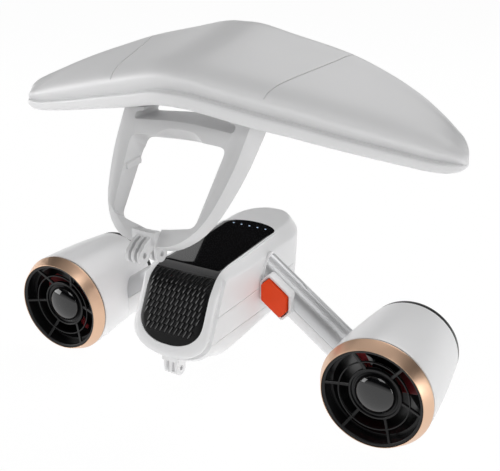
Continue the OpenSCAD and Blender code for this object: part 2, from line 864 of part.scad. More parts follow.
module tube_ring(r_in, r_out, from, to) {
    rotate_extrude() translate([r_in, from]) square([r_out - r_in, to - from]);
}

module duct_liner(side) {
    color("black") on_axis(side) {
        tube_ring(duct_r, liner_r, trim_len, shell_end - 6);
        tube_ring(duct_r, shell_front_r - 1, trim_len, trim_len + trim_gap);
    }
}

module trim_ring(side) {
    color("rosybrown") on_axis(side) rotate_extrude() polygon([
        [trim_in_r, 0], [trim_front_r, 0], [trim_r - 0.4, trim_len - 1.2], [trim_r, trim_len - 0.6],
        [trim_r - 0.6, trim_len], [trim_in_r, trim_len]
    ]);
}

module intake_guard(side) {
    run = guard_rim_r - 2 - hub_ring_r;
    lean = atan(guard_dish / run);
    mid_y_drop = guard_dish * (guard_rim_r - 2 - mid_ring_r) / run;
    color("#181818") on_axis(side) {
        tube_ring(guard_rim_r - 3, guard_rim_r, guard_front, trim_len);
        tube_ring(hub_ring_r - 2.2, hub_ring_r, hub_plate_y, hub_plate_y + guard_t);
        tube_ring(mid_ring_r - 0.6, mid_ring_r + 0.6,
            guard_front + mid_y_drop + 0.6, guard_front + mid_y_drop + 3.4);
        translate([0, 0, hub_plate_y + guard_t - hub_plate_t]) cylinder(r = hub_ring_r - 1, h = hub_plate_t);
        for (k = [0 : spoke_count - 1]) rotate(360 * k / spoke_count)
            translate([hub_ring_r - 1.2, -spoke_w / 2, hub_plate_y + 0.4]) rotate([0, lean, 0])
                cube([run / cos(lean) + 1.6, spoke_w, 2.6]);
    }
}

module hub_dome(side) {
    base = hub_plate_y + guard_t - hub_plate_t;
    sphere_r = (dome_r * dome_r + dome_h * dome_h) / (2 * dome_h);
    color("black") on_axis(side) intersection() {
        translate([0, 0, base - dome_h + sphere_r]) sphere(r = sphere_r);
        translate([0, 0, base - dome_h - 1]) cylinder(r = dome_r, h = dome_h + 1);
    }
}

// Blade outline: a wide paddle with a round tip, along X from the hub
module blade_plan() {
    polygon(soft_outline([
        [prop_hub_r - 2, -blade_chord * 0.3, 1],
        [blade_r * 0.6, -blade_chord / 2, 10],
        [blade_r - 1, -blade_chord * 0.35, 5],
        [blade_r - 1, blade_chord * 0.35, 5],
        [blade_r * 0.6, blade_chord / 2, 10],
        [prop_hub_r - 2, blade_chord * 0.3, 1],
    ]));
}

module propeller(side) {
    mid = prop_hub_y + prop_hub_len / 2;
    color("maroon") on_axis(side) difference() {
        union() {
            translate([0, 0, prop_hub_y]) cylinder(r = prop_hub_r, h = prop_hub_len);
            translate([0, 0, spinner_y])
                cylinder(r1 = prop_hub_r * 0.6, r2 = prop_hub_r, h = prop_hub_y - spinner_y);
            intersection() {
                for (k = [0 : blade_count - 1]) rotate(360 * k / blade_count)
                    translate([0, 0, mid]) rotate([blade_pitch, 0, 0])
                        linear_extrude(2.4, center = true) blade_plan();
                translate([0, 0, mid - 30]) cylinder(r = blade_r, h = 60);
            }
        }
        translate([0, 0, spinner_y + 4]) cylinder(r = shaft_r + run_gap, h = 100);
    }
}

module prop_shaft(side) {
    color("silver") on_axis(side)
        translate([0, 0, spinner_y + 4.2]) cylinder(r = shaft_r, h = pod_end - spinner_y - 4.2);
}

module motor_rotor(side) {
    color("dimgray") on_axis(side) tube_ring(shaft_r + run_gap, rotor_r, motor_y + 1, motor_end - 1);
}

module motor_stator(side) {
    color("peru") on_axis(side) tube_ring(stator_bore_r, pod_r - pod_wall - seat_gap, motor_y, motor_end);
}

module motor_bearings(side) {
    color("silver") on_axis(side) {
        tube_ring(shaft_r + run_gap, bearing_r, front_bearing_y, front_bearing_y + bearing_w);
        tube_ring(shaft_r + run_gap, bearing_r, rear_bearing_y, rear_bearing_y + bearing_w);
    }
}

module shaft_seal(side) {
    color("black") on_axis(side) tube_ring(shaft_r + run_gap, bearing_r, seal_y, seal_y + seal_w);
}

// Motor pod on thin vanes, with a seat for the seal and a bearing at each end
module stator_vanes(side) {
    vane_y0 = motor_y + 8;
    vane_len = stator_len - 4;
    color("#202020") on_axis(side) {
        tube_ring(pod_r - pod_wall, pod_r, pod_y, pod_end);
        tube_ring(bearing_r + seat_gap, pod_r - 1, pod_y, front_bearing_y + bearing_w);
        tube_ring(bearing_r + seat_gap, pod_r - 1, rear_bearing_y, pod_end);
        intersection() {
            for (k = [0 : vane_count - 1]) rotate(360 * k / vane_count + 18)
                translate([pod_r - 1, -1.1, vane_y0]) cube([duct_r, 2.2, vane_len]);
            translate([0, 0, vane_y0 - 1]) cylinder(r = duct_r - seat_gap, h = vane_len + 2);
        }
    }
}

module outlet_ring(side) {
    r_out = shell_rear_r - 1.6;
    bars = 4;
    color("black") on_axis(side) {
        tube_ring(r_out - outlet_wall, r_out, shell_end + seat_gap, outlet_end);
        tube_ring(r_out - outlet_wall, shell_rear_r - shell_wall - 0.5, shell_end - 5.8, shell_end + 1);
        intersection() {
            for (k = [0 : bars - 1]) rotate(180 * k / bars)
                translate([-r_out, -1.3, shell_end + 1]) cube([2 * r_out, 2.6, outlet_len - 2.5]);
            translate([0, 0, shell_end]) cylinder(r = r_out - 1, h = outlet_len);
        }
    }
}

// Hull lines at a place x across the width: lower edge, front edge, joint, crown, crest and rear edge
function hull_run(x) = sqrt(x * x + hull_soft * hull_soft) - hull_soft;
function hull_t(x) = hull_run(x) / hull_run(hull_half);
function hull_edge(x) = hull_edge_z - hull_droop * pow(hull_t(x), 0.95);
function hull_lead(x) = hull_front_y + hull_sweep * pow(hull_t(x), 1.05);
function hull_joint(x) = hull_edge(x) + hull_joint_h - 5 * hull_t(x);
function hull_crown(x) = hull_crown_z - hull_crown_drop * pow(hull_t(x), 1.28);
function hull_crest(x) = hull_rear_y - 34 - 50 * pow(hull_t(x), 3);
function hull_trail(x) = hull_rear_y - 72 * pow(hull_t(x), 2.6);
function hull_ridge(x) = hull_edge(x) + hull_face_h - 5 * hull_t(x);

// Places across the hull from the middle to near a tip
function hull_places(to) = [for (k = [0 : 6]) 9 + (to * hull_half - 9) * k / 6];

// Half outlines from the lower or front edge round the tip to the upper or rear edge
function hull_plan_corners() = both_halves(concat(
    [for (x = hull_places(0.92)) [x, hull_lead(x), 12]],
    [[hull_half, hull_lead(hull_half) - 4, 12], [hull_half - 2, hull_trail(hull_half), 9]],
    [for (k = [6 : -1 : 0]) let (x = hull_places(0.92)[k]) [x, hull_trail(x), 12]]
));
function hull_front_corners() = both_halves(concat(
    [for (x = hull_places(0.94)) [x, hull_edge(x), 12]],
    [[hull_half - 1, hull_edge(hull_half) + 6, 9], [hull_half, hull_crown(hull_half) - 16, 11]],
    [for (k = [6 : -1 : 0]) let (x = hull_places(0.94)[k]) [x, hull_crown(x), 12]]
));

// Everything under a roof that slopes along Y, whose height at y = 0 is given for each place across
module under_slope(slope, heights) {
    a = atan(slope);
    n = len(heights) - 1;
    xs = hull_places(1.04);
    rotate([a, 0, 0]) along_y(-400, 400, concat(
        [for (k = [0 : n]) [xs[k], heights[k] * cos(a)]],
        [[xs[n], -100], [-xs[n], -100]],
        [for (k = [n : -1 : 0]) [-xs[k], heights[k] * cos(a)]]
    ));
}

// Hull as a whole, drawn in by i: outlines from above and the front under a rising and a falling roof
hull_rise = 0.16;
hull_fall = 0.9;
module hull_form(i) {
    intersection() {
        along_z(100, 400, soft_outline(inset(hull_plan_corners(), i), 2));
        along_y(-200, 300, soft_outline(inset(hull_front_corners(), i), 2));
        under_slope(hull_rise, [for (x = hull_places(1.04)) hull_ridge(x) - hull_rise * hull_lead(x) - i]);
        under_slope(-hull_fall,
            [for (x = hull_places(1.04)) hull_crown(x) + hull_fall * hull_crest(x) - i * 1.3]);
    }
}

// Everything above the hull's joint, moved up by a gap
module above_joint(gap) {
    xs = hull_places(1.04);
    along_y(-200, 300, concat(
        [for (k = [6 : -1 : 0]) [-xs[k], hull_joint(xs[k]) + gap]],
        [for (k = [0 : 6]) [xs[k], hull_joint(xs[k]) + gap]],
        [[xs[6], 420], [-xs[6], 420]]
    ));
}

module hull_skin() {
    difference() {
        hull_form(0);
        hull_form(hull_wall);
    }
}

module hull_screw_places() {
    for (x = [-post_x, post_x], y = [pad_y0 + 4, pad_y0 + pad_len - 4]) translate([x, y, pad_z]) children();
}

module hull_upper_shell() {
    color("whitesmoke") placed() intersection() {
        hull_skin();
        above_joint(seat_gap);
    }
}

// Lower shell with two flat pads that the bracket is screwed to
module hull_lower_shell() {
    color("gainsboro") placed() difference() {
        union() {
            difference() {
                hull_skin();
                above_joint(-seat_gap);
            }
            for (x = [-post_x, post_x])
                translate([x - pad_half, pad_y0, pad_z]) cube([2 * pad_half, pad_len, pad_top - pad_z]);
        }
        hull_screw_places() translate([0, 0, -1]) cylinder(r = hull_screw_r + run_gap, h = 60);
    }
}

// Bracket outline in X and Z, seen from the front
function bracket_corners(top) =
    let (w = bracket_half, low = bracket_low_z)
    both_halves([
        [8, low - 2, 4], [w - 36, low + 1, 16], [w - 14, low + 20, 22], [w - 2.5, low + 62, 20],
        [w, pad_z, 4], [w, top, 1]
    ]);
function bracket_outline() = soft_outline(bracket_corners(pad_z + 40), 4);

function window_outline() =
    let (w = bracket_half - bracket_rim, top = window_top_z, low = window_low_z)
    soft_outline([
        [w + 1.4, top - 1, 7], [w - 5.6, low + 4.5, 6], [0, low - 3.5, 30],
        [-w + 5.6, low + 4.5, 6], [-w - 1.4, top - 1, 7], [0, top + 1.5, 20]
    ]);

// Finger hollow over the window's middle
function hollow_outline() =
    let (top = window_top_z)
    soft_outline([
        [-28, top - 1.6, 3], [-15, top + 7, 7], [15, top + 7, 7], [28, top - 1.6, 3],
        [20, top - 12, 1], [-20, top - 12, 1]
    ]);

// Part of the window that slopes less, so that its top stays out of sight
function relief_outline() =
    let (w = bracket_half - bracket_rim, top = window_top_z)
    soft_outline([
        [w - 1.5, top - 2, 6], [w - 8, top - 24, 2], [-w + 8, top - 24, 2], [-w + 1.5, top - 2, 6],
        [0, top + 0.7, 20]
    ]);

function slot_outline() =
    let (w = slot_half, low = slot_z)
    soft_outline([
        [w + 1, low - 1, 3.4], [w + 1, low + 5.6, 3], [w - 6, low + 6.2, 1], [w - 7, pad_z + 5, 1],
        [-w + 7, pad_z + 5, 1], [-w + 6, low + 6.2, 1], [-w - 1, low + 5.6, 3], [-w - 1, low - 1, 3.4],
        [0, low + 2.5, 20]
    ]);

// An outline in X and Z laid on the bracket's face, drawn from depth y0 to y1 at a slope down to the rear
module face_prism(y0, y1, slope, outline) {
    stretch = bracket_pitch * sin(slope) + cos(slope);
    translate([0, bracket_face_y, bracket_face_z]) rotate([-slope, 0, 0])
        along_y(y0, y1, [for (p = outline) [p[0], (p[1] - bracket_face_z) * stretch]]);
}

// Slanting space ahead of the bracket's face, and behind a back that is a given depth from it
module ahead_of_face() {
    translate([0, bracket_face_y, bracket_face_z]) rotate([-bracket_tilt, 0, 0])
        translate([-150, -300, -200]) cube([300, 300, 400]);
}
module behind_back(depth, tilt) {
    translate([0, bracket_face_y + depth, bracket_face_z]) rotate([-tilt, 0, 0])
        translate([-150, 0, -200]) cube([300, 300, 400]);
}

module block_space(gap) {
    translate([-block_half - gap, -150, bracket_low_z - 40]) cube([2 * (block_half + gap), 300, 60]);
}

// Small catch on the window's left wall, where a strap is hooked
module strap_catch() {
    along_y(-39, -16, [[-50, 192], [catch_x, 193], [catch_x, 195], [-50, 200]]);
}

// Slanting frame round a window, square to its face, deeper towards the two posts under the hull
module bracket_loop() {
    color("gainsboro") placed() difference() {
        union() {
            difference() {
                face_prism(-70, 70, bracket_tilt, bracket_outline());
                face_prism(-80, 80, bracket_tilt, window_outline());
                face_prism(-80, 80, window_slope, relief_outline());
                face_prism(-40, 40, hollow_slope, hollow_outline());
            }
            strap_catch();
        }
        behind_back(bracket_d, bracket_tilt + 7);
        translate([-150, -300, pad_z]) cube([300, 600, 100]);
        along_y(-130, 90, slot_outline());
        ahead_of_face();
        block_space(seat_gap);
        hull_screw_places() translate([0, 0, -9]) cylinder(r = hull_screw_r + run_gap, h = 20);
    }
}

// Block let into the bracket's foot: camera prongs ahead, and ears behind that meet the body's mount
module bracket_block() {
    foot_y = bracket_face_y + (bracket_low_z + 6 - bracket_face_z) * bracket_pitch;
    color("gainsboro") placed() difference() {
        union() {
            intersection() {
                translate([-block_half, -150, 0]) cube([2 * block_half, 300, bracket_low_z + 20]);
                translate([0, 80, 0]) rotate([90, 0, 0]) linear_extrude(200) difference() {
                    polygon(bracket_outline());
                    polygon(window_outline());
                }
                translate([-50, foot_y - 6, 0]) cube([100, 20, 400]);
            }
            translate([0, front_bore_y, front_bore_z])
                prong_plates([-prong_t - prong_gap, 0, prong_t + prong_gap], [
                    [-prong_r, 0], [0, -prong_r],
                    [foot_y - front_bore_y + 2, bracket_low_z - front_bore_z - 2],
                    [foot_y - front_bore_y + 2, bracket_low_z - front_bore_z + 9],
                    [1, prong_r + 3], [-prong_r, 2]
                ]);
            translate([0, ear_bore_y, ear_bore_z])
                prong_plates([-(prong_t + prong_gap) / 2, (prong_t + prong_gap) / 2], [
                    [-prong_r, 0], [prong_r, 0], [prong_r - 3, bracket_low_z - ear_bore_z + 4],
                    [-prong_r - 3, bracket_low_z - ear_bore_z + 4]
                ]);
        }
        translate([0, front_bore_y, front_bore_z]) prong_bore(mount_w);
        translate([0, ear_bore_y, ear_bore_z]) prong_bore(mount_w);
    }
}

module bracket_screws() {
    color("silver") placed() hull_screw_places() {
        translate([0, 0, -8]) cylinder(r = hull_screw_r, h = pad_top - pad_z + 8);
        translate([0, 0, pad_top - pad_z]) cylinder(r = hull_screw_r + 1.5, h = 2);
    }
}

body_upper_shell();
body_lower_shell();
keel_cover();
control_panel();
nose_panel();
led_lenses();
control_board();
battery_pack();
shell_gasket();
camera_mount();
housing_screws();
thruster_cables();
arm_upper(-1);  // left_arm_upper
arm_lower(-1);  // left_arm_lower
arm_collar(-1);  // left_arm_collar
grip_plate(-1);  // left_grip_plate
trigger(-1);  // left_trigger
trigger_pin(-1);  // left_trigger_pin
trigger_spring(-1);  // left_trigger_spring
trigger_sensor(-1);  // left_trigger_sensor
duct_shell(-1);  // left_duct_shell
duct_liner(-1);  // left_duct_liner
trim_ring(-1);  // left_trim_ring
intake_guard(-1);  // left_intake_guard
hub_dome(-1);  // left_hub_dome
propeller(-1);  // left_propeller
prop_shaft(-1);  // left_prop_shaft
motor_rotor(-1);  // left_motor_rotor
motor_stator(-1);  // left_motor_stator
motor_bearings(-1);  // left_motor_bearings
shaft_seal(-1);  // left_shaft_seal
stator_vanes(-1);  // left_stator_vanes
outlet_ring(-1);  // left_outlet_ring
arm_upper(1);  // right_arm_upper
arm_lower(1);  // right_arm_lower
arm_collar(1);  // right_arm_collar
grip_plate(1);  // right_grip_plate
trigger(1);  // right_trigger
trigger_pin(1);  // right_trigger_pin
trigger_spring(1);  // right_trigger_spring
trigger_sensor(1);  // right_trigger_sensor
duct_shell(1);  // right_duct_shell
duct_liner(1);  // right_duct_liner
trim_ring(1);  // right_trim_ring
intake_guard(1);  // right_intake_guard
hub_dome(1);  // right_hub_dome
propeller(1);  // right_propeller
prop_shaft(1);  // right_prop_shaft
motor_rotor(1);  // right_motor_rotor
motor_stator(1);  // right_motor_stator
motor_bearings(1);  // right_motor_bearings
shaft_seal(1);  // right_shaft_seal
stator_vanes(1);  // right_stator_vanes
outlet_ring(1);  // right_outlet_ring
hull_upper_shell();
hull_lower_shell();
bracket_loop();
bracket_block();
bracket_screws();
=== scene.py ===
import json
import math
import bmesh
import bpy
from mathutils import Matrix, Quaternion, Vector


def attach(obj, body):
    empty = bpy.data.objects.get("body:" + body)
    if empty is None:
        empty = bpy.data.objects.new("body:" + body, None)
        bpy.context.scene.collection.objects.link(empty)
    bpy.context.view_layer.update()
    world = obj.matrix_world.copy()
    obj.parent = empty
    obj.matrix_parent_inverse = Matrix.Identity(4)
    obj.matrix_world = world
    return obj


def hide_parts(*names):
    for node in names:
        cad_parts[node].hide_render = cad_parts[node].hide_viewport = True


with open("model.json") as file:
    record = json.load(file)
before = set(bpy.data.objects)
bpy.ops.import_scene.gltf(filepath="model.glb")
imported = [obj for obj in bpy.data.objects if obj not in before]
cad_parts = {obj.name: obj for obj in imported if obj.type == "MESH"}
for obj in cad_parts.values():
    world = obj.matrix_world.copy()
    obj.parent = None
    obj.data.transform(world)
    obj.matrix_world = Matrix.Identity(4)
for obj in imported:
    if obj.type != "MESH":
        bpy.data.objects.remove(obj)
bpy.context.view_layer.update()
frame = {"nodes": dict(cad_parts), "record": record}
scene = bpy.context.scene
scene.view_settings.view_transform = "Standard"
print("frame loaded:", len(frame["nodes"]), "nodes")

midPlaneY, axisHeight = 35.75, 55.6  # drawing datum in the frame, mm


def spot(x, y, z):
    return Vector((x, y - midPlaneY, z + axisHeight)) / 1000


def onlySelect(piece):
    bpy.ops.object.select_all(action="DESELECT")
    piece.select_set(True)
    bpy.context.view_layer.objects.active = piece


def inEdit(piece, *steps):
    onlySelect(piece)
    bpy.ops.object.mode_set(mode="EDIT")
    bpy.ops.mesh.select_all(action="SELECT")
    for step in steps:
        step()
    bpy.ops.object.mode_set(mode="OBJECT")


def mergeDoubles():
    bpy.ops.mesh.remove_doubles(threshold=2e-5)


def faceOut():
    bpy.ops.mesh.normals_make_consistent(inside=False)


def useModifier(piece, kind, **values):
    onlySelect(piece)
    tool = piece.modifiers.new(kind.lower(), kind)
    for key, value in values.items():
        setattr(tool, key, value)
    bpy.ops.object.modifier_apply(modifier=tool.name)


def softEdges(piece, width, angle=35, segments=2):
    useModifier(piece, "BEVEL", width=width / 1000, segments=segments, limit_method="ANGLE",
                angle_limit=math.radians(angle), use_clamp_overlap=True, miter_outer="MITER_ARC")


def thicken(piece, wall):
    useModifier(piece, "SOLIDIFY", thickness=wall / 1000, offset=-1, use_even_offset=True)


def cutAway(piece, cutter, how="DIFFERENCE"):
    useModifier(piece, "BOOLEAN", object=cutter, operation=how, solver="EXACT")
    bpy.data.objects.remove(cutter)


def drapeGrid(name, across, along, where, closed=False):
    # a grid whose points are each moved to where(column, row)
    bpy.ops.object.select_all(action="DESELECT")
    bpy.ops.mesh.primitive_grid_add(x_subdivisions=across, y_subdivisions=along, size=1)
    piece = bpy.context.object
    piece.name = piece.data.name = name
    for v in piece.data.vertices:
        v.co = where(round((v.co.x + 0.5) * across), round((v.co.y + 0.5) * along))
    inEdit(piece, mergeDoubles, *([faceOut] if closed else []))
    return piece


def sweepBar(name, outlines):
    # a closed bar through rings of points, with both ends drawn to a point
    count = len(outlines[0])
    middles = [sum(ring, Vector()) / count for ring in (outlines[0], outlines[-1])]

    def where(i, j):
        if j == 0 or j == len(outlines) + 1:
            return middles[0 if j == 0 else 1]
        return outlines[j - 1][i % count]

    return drapeGrid(name, count, len(outlines) + 1, where, closed=True)


def spinProfile(name, points, steps=96, lacksEnd=False):
    # points are (radius, place along the axis), turned about the right thruster's axis
    bpy.ops.object.select_all(action="DESELECT")
    bpy.ops.mesh.primitive_circle_add(vertices=len(points), fill_type="NOTHING")
    piece = bpy.context.object
    piece.name = piece.data.name = name
    for v, (r, y) in zip(piece.data.vertices, points):
        v.co = spot(ductSet["centre"] + r, y, 0)
    onlySelect(piece)
    bpy.ops.object.mode_set(mode="EDIT")
    if lacksEnd:  # both ends lie on the axis, with no edge between them
        mesh = bmesh.from_edit_mesh(piece.data)
        mesh.verts.ensure_lookup_table()
        last = [e for e in mesh.verts[-1].link_edges if mesh.verts[0] in e.verts]
        bmesh.ops.delete(mesh, geom=last, context="EDGES")
        bmesh.update_edit_mesh(piece.data)
    bpy.ops.mesh.select_all(action="SELECT")
    bpy.ops.mesh.spin(steps=steps, angle=2 * math.pi, center=spot(ductSet["centre"], 0, 0), axis=(0, 1, 0))
    bpy.ops.mesh.select_all(action="SELECT")
    mergeDoubles()
    faceOut()
    bpy.ops.object.mode_set(mode="OBJECT")
    return piece


def joinAll(name, parts):
    bpy.ops.object.select_all(action="DESELECT")
    for part in parts:
        part.select_set(True)
    bpy.context.view_layer.objects.active = parts[0]
    bpy.ops.object.join()
    parts[0].name = parts[0].data.name = name
    return parts[0]


def copyOf(piece, name, mirror=False):
    twin = piece.copy()
    twin.data = piece.data.copy()
    twin.name = twin.data.name = name
    scene.collection.objects.link(twin)
    if mirror:
        for v in twin.data.vertices:
            v.co.x = -v.co.x
        inEdit(twin, bpy.ops.mesh.flip_normals)
    return twin


def cadCopy(node, name, edge, angle=35, segments=2):
    # a merged copy of a solid, with flat faces joined and its edges softened
    piece = frame["nodes"][node].copy()
    piece.data = piece.data.copy()
    piece.name = piece.data.name = name
    piece.parent = None
    for key in list(piece.keys()):
        del piece[key]
    scene.collection.objects.link(piece)
    piece.hide_render = False
    piece.hide_viewport = False
    flat = math.radians(0.5)
    inEdit(piece, bpy.ops.mesh.customdata_custom_splitnormals_clear, mergeDoubles,
           lambda: bpy.ops.mesh.dissolve_limited(angle_limit=flat))
    softEdges(piece, edge, angle, segments)
    return piece


def softCorner(p, q, s, d, steps):
    # a curve round the corner q, from d before it to d past it
    a, b = p - q, s - q
    start = q + a.normalized() * min(d, a.length * 0.48)
    stop = q + b.normalized() * min(d, b.length * 0.48)
    stops = [k / steps for k in range(steps + 1)]
    return [start * (1 - t) ** 2 + q * 2 * t * (1 - t) + stop * t * t for t in stops]


def softOutline(corners, steps=5, closed=True):
    # corners are (across, up, rounding)
    points = [Vector((c[0], c[1])) for c in corners]
    out = []
    for k, c in enumerate(corners):
        if c[2] == 0 or (not closed and k in (0, len(corners) - 1)):
            out.append(points[k])
        else:
            out += softCorner(points[k - 1], points[k], points[(k + 1) % len(points)], c[2], steps)
    return out


def along(table, x):
    # smooth value of a table of (place, value) rows
    x = min(max(x, table[0][0]), table[-1][0])
    for k in range(len(table) - 1):
        (x0, y0), (x1, y1) = table[k], table[k + 1]
        if x <= x1:
            before = table[k - 1] if k else (2 * x0 - x1, 2 * y0 - y1)
            after = table[k + 2] if k + 2 < len(table) else (2 * x1 - x0, 2 * y1 - y0)
            m0 = (y1 - before[1]) / (x1 - before[0])
            m1 = (after[1] - y0) / (after[0] - x0)
            h = x1 - x0
            t = (x - x0) / h
            return ((2 * t**3 - 3 * t**2 + 1) * y0 + (t**3 - 2 * t**2 + t) * h * m0
                    + (3 * t**2 - 2 * t**3) * y1 + (t**3 - t**2) * h * m1)
    return table[-1][1]


def mix(a, b, t):
    return a + (b - a) * t


def newGroup(name, inputs, outputs):
    group = bpy.data.node_groups.new(name, "ShaderNodeTree")
    for label, value in inputs:
        socket = group.interface.new_socket(label, in_out="INPUT", socket_type="NodeSocketFloat")
        socket.default_value = value
    for label in outputs:
        group.interface.new_socket(label, in_out="OUTPUT", socket_type="NodeSocketFloat")
    return group, group.nodes.new("NodeGroupInput"), group.nodes.new("NodeGroupOutput")


def noiseNode(tree, scaleFrom, detail, stretch=None):
    place = tree.nodes.new("ShaderNodeTexCoord").outputs["Object"]
    if stretch:
        mapping = tree.nodes.new("ShaderNodeMapping")
        mapping.inputs["Scale"].default_value = stretch
        tree.links.new(place, mapping.inputs["Vector"])
        place = mapping.outputs["Vector"]
    noise = tree.nodes.new("ShaderNodeTexNoise")
    noise.inputs["Detail"].default_value = detail
    tree.links.new(place, noise.inputs["Vector"])
    if isinstance(scaleFrom, (int, float)):
        noise.inputs["Scale"].default_value = scaleFrom
    else:
        tree.links.new(scaleFrom, noise.inputs["Scale"])
    return noise.outputs["Fac"]


def buildMouldSkin():
    # fine moulding grain, plus slow cloudy change for colour and gloss
    scales = [("Grain Scale", 900.0), ("Cloud Scale", 14.0)]
    group, into, out = newGroup("mouldSkin", scales, ["Grain", "Cloud"])
    group.links.new(noiseNode(group, into.outputs["Grain Scale"], 2), out.inputs["Grain"])
    group.links.new(noiseNode(group, into.outputs["Cloud Scale"], 4), out.inputs["Cloud"])
    return group


def buildTurnedLines():
    # fine lines left round a turned ring, which lie across the thruster's axis
    group, into, out = newGroup("turnedLines", [("Line Scale", 30.0)], ["Lines"])
    stretch = (1.5, 160, 1.5)
    group.links.new(noiseNode(group, into.outputs["Line Scale"], 5, stretch), out.inputs["Lines"])
    return group


mouldSkin = buildMouldSkin()
turnedLines = buildTurnedLines()


def makeFinish(name, colour, rough, spread=0.06, tint=0.04, grain=0.00004, grainScale=900, metal=0.0,
               coat=0.0, coatRough=0.05, specular=0.5, turned=False, glow=None):
    # spread and tint are how far gloss and colour wander; grain is the bump's depth in metres
    mat = bpy.data.materials.new(name)
    mat.use_nodes = True
    tree = mat.node_tree
    skin = tree.nodes["Principled BSDF"]
    skin.inputs["Metallic"].default_value = metal
    skin.inputs["Coat Weight"].default_value = coat
    skin.inputs["Coat Roughness"].default_value = coatRough
    skin.inputs["Specular IOR Level"].default_value = specular
    if glow:
        skin.inputs["Emission Color"].default_value = (*glow[0], 1)
        skin.inputs["Emission Strength"].default_value = glow[1]
    group = tree.nodes.new("ShaderNodeGroup")
    group.node_tree = mouldSkin
    group.inputs["Grain Scale"].default_value = grainScale
    blend = tree.nodes.new("ShaderNodeMix")
    blend.data_type = "RGBA"  # its colour sockets share their names, so they go by number
    blend.inputs[6].default_value = (*[c * (1 - tint) for c in colour], 1)
    blend.inputs[7].default_value = (*[min(1, c * (1 + tint)) for c in colour], 1)
    tree.links.new(group.outputs["Cloud"], blend.inputs[0])
    tree.links.new(blend.outputs[2], skin.inputs["Base Color"])
    gloss = tree.nodes.new("ShaderNodeMapRange")
    gloss.inputs["To Min"].default_value = max(0.02, rough - spread)
    gloss.inputs["To Max"].default_value = rough + spread
    height, glossFrom = group.outputs["Grain"], group.outputs["Cloud"]
    if turned:
        lines = tree.nodes.new("ShaderNodeGroup")
        lines.node_tree = turnedLines
        height = glossFrom = lines.outputs["Lines"]
    tree.links.new(glossFrom, gloss.inputs["Value"])
    tree.links.new(gloss.outputs["Result"], skin.inputs["Roughness"])
    bump = tree.nodes.new("ShaderNodeBump")
    bump.inputs["Strength"].default_value = 0.35
    bump.inputs["Distance"].default_value = grain
    tree.links.new(height, bump.inputs["Height"])
    tree.links.new(bump.outputs["Normal"], skin.inputs["Normal"])
    return mat


finishes = {
    "white_shell": makeFinish("satinWhite", (0.86, 0.86, 0.865), 0.36, tint=0.02, coat=0.15, coatRough=0.2),
    "float_white": makeFinish("floatWhite", (0.76, 0.76, 0.765), 0.46, tint=0.02, coat=0.05, coatRough=0.3),
    "bracket_grey": makeFinish("bracketGrey", (0.68, 0.68, 0.685), 0.42, tint=0.02, grain=0.00006),
    "arm_silver": makeFinish("armSilver", (0.64, 0.645, 0.655), 0.38, metal=0.75, coat=0.1, coatRough=0.25),
    "arm_grey": makeFinish("gripGrey", (0.68, 0.685, 0.69), 0.4, metal=0.2, grain=0.00012, grainScale=1500),
    "black_gloss": makeFinish("pianoBlack", (0.003, 0.003, 0.0035), 0.03, spread=0.01, grain=0.000002,
                              coat=0.5, coatRough=0.01),
    "black_satin": makeFinish("satinBlack", (0.005, 0.005, 0.0055), 0.3, tint=0.15, specular=0.32),
    "rose_gold": makeFinish("roseGold", (0.77, 0.52, 0.365), 0.34, spread=0.05, metal=1.0, grain=0.00002,
                            turned=True),
    "trigger_orange": makeFinish("triggerOrange", (0.85, 0.058, 0.003), 0.45, grain=0.00008, specular=0.3),
    "propeller_red": makeFinish("propellerRed", (0.3, 0.03, 0.035), 0.28, tint=0.1, coat=0.3),
    "lens_clear": makeFinish("lightGuide", (0.6, 0.75, 0.95), 0.2, glow=((0.5, 0.7, 1.0), 0.4)),
    "circuit_board": makeFinish("boardGreen", (0.02, 0.12, 0.05), 0.45, tint=0.2),
    "battery_wrap": makeFinish("batteryWrap", (0.05, 0.05, 0.06), 0.4, tint=0.15),
    "black_rubber": makeFinish("rubberBlack", (0.014, 0.014, 0.014), 0.6, tint=0.15, grain=0.0001),
    "steel": makeFinish("plainSteel", (0.5, 0.5, 0.5), 0.3, metal=1.0, turned=True),
    "magnet_steel": makeFinish("magnetGrey", (0.18, 0.18, 0.19), 0.4, metal=0.7),
    "copper_winding": makeFinish("windingCopper", (0.65, 0.3, 0.14), 0.35, metal=0.9, turned=True),
}
print("finishes made:", len(finishes))


def deliver(piece, slot, body, node, angle=32):
    piece.data.materials.clear()
    piece.data.materials.append(finishes[slot])
    onlySelect(piece)
    bpy.ops.object.shade_smooth_by_angle(angle=math.radians(angle))
    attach(piece, body)
    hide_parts(node)


def deliverPair(piece, slot, body, node):
    # a right-hand piece and its mirror image; a right-hand body changes side with it
    twin = copyOf(piece, piece.name.replace("right", "left"), mirror=True)
    for side, one in (("right", piece), ("left", twin)):
        deliver(one, slot, body.replace("right", side), side + "_" + node)


cameraSet = {"place": (397.136, -604.669, 425.930), "azimuth": 29.24, "elevation": 22.76,
             "focalPixels": 831.02, "pixelsWide": 500, "sensor": 36}


def addCamera():
    c = cameraSet
    data = bpy.data.cameras.new("photoCamera")
    data.sensor_width = c["sensor"]
    data.sensor_fit = "HORIZONTAL"
    data.lens = c["focalPixels"] / c["pixelsWide"] * c["sensor"]
    camera = bpy.data.objects.new("photoCamera", data)
    camera.location = spot(*c["place"])
    camera.rotation_euler = (math.radians(90 - c["elevation"]), 0, math.radians(c["azimuth"]))
    scene.collection.objects.link(camera)
    scene.camera = camera


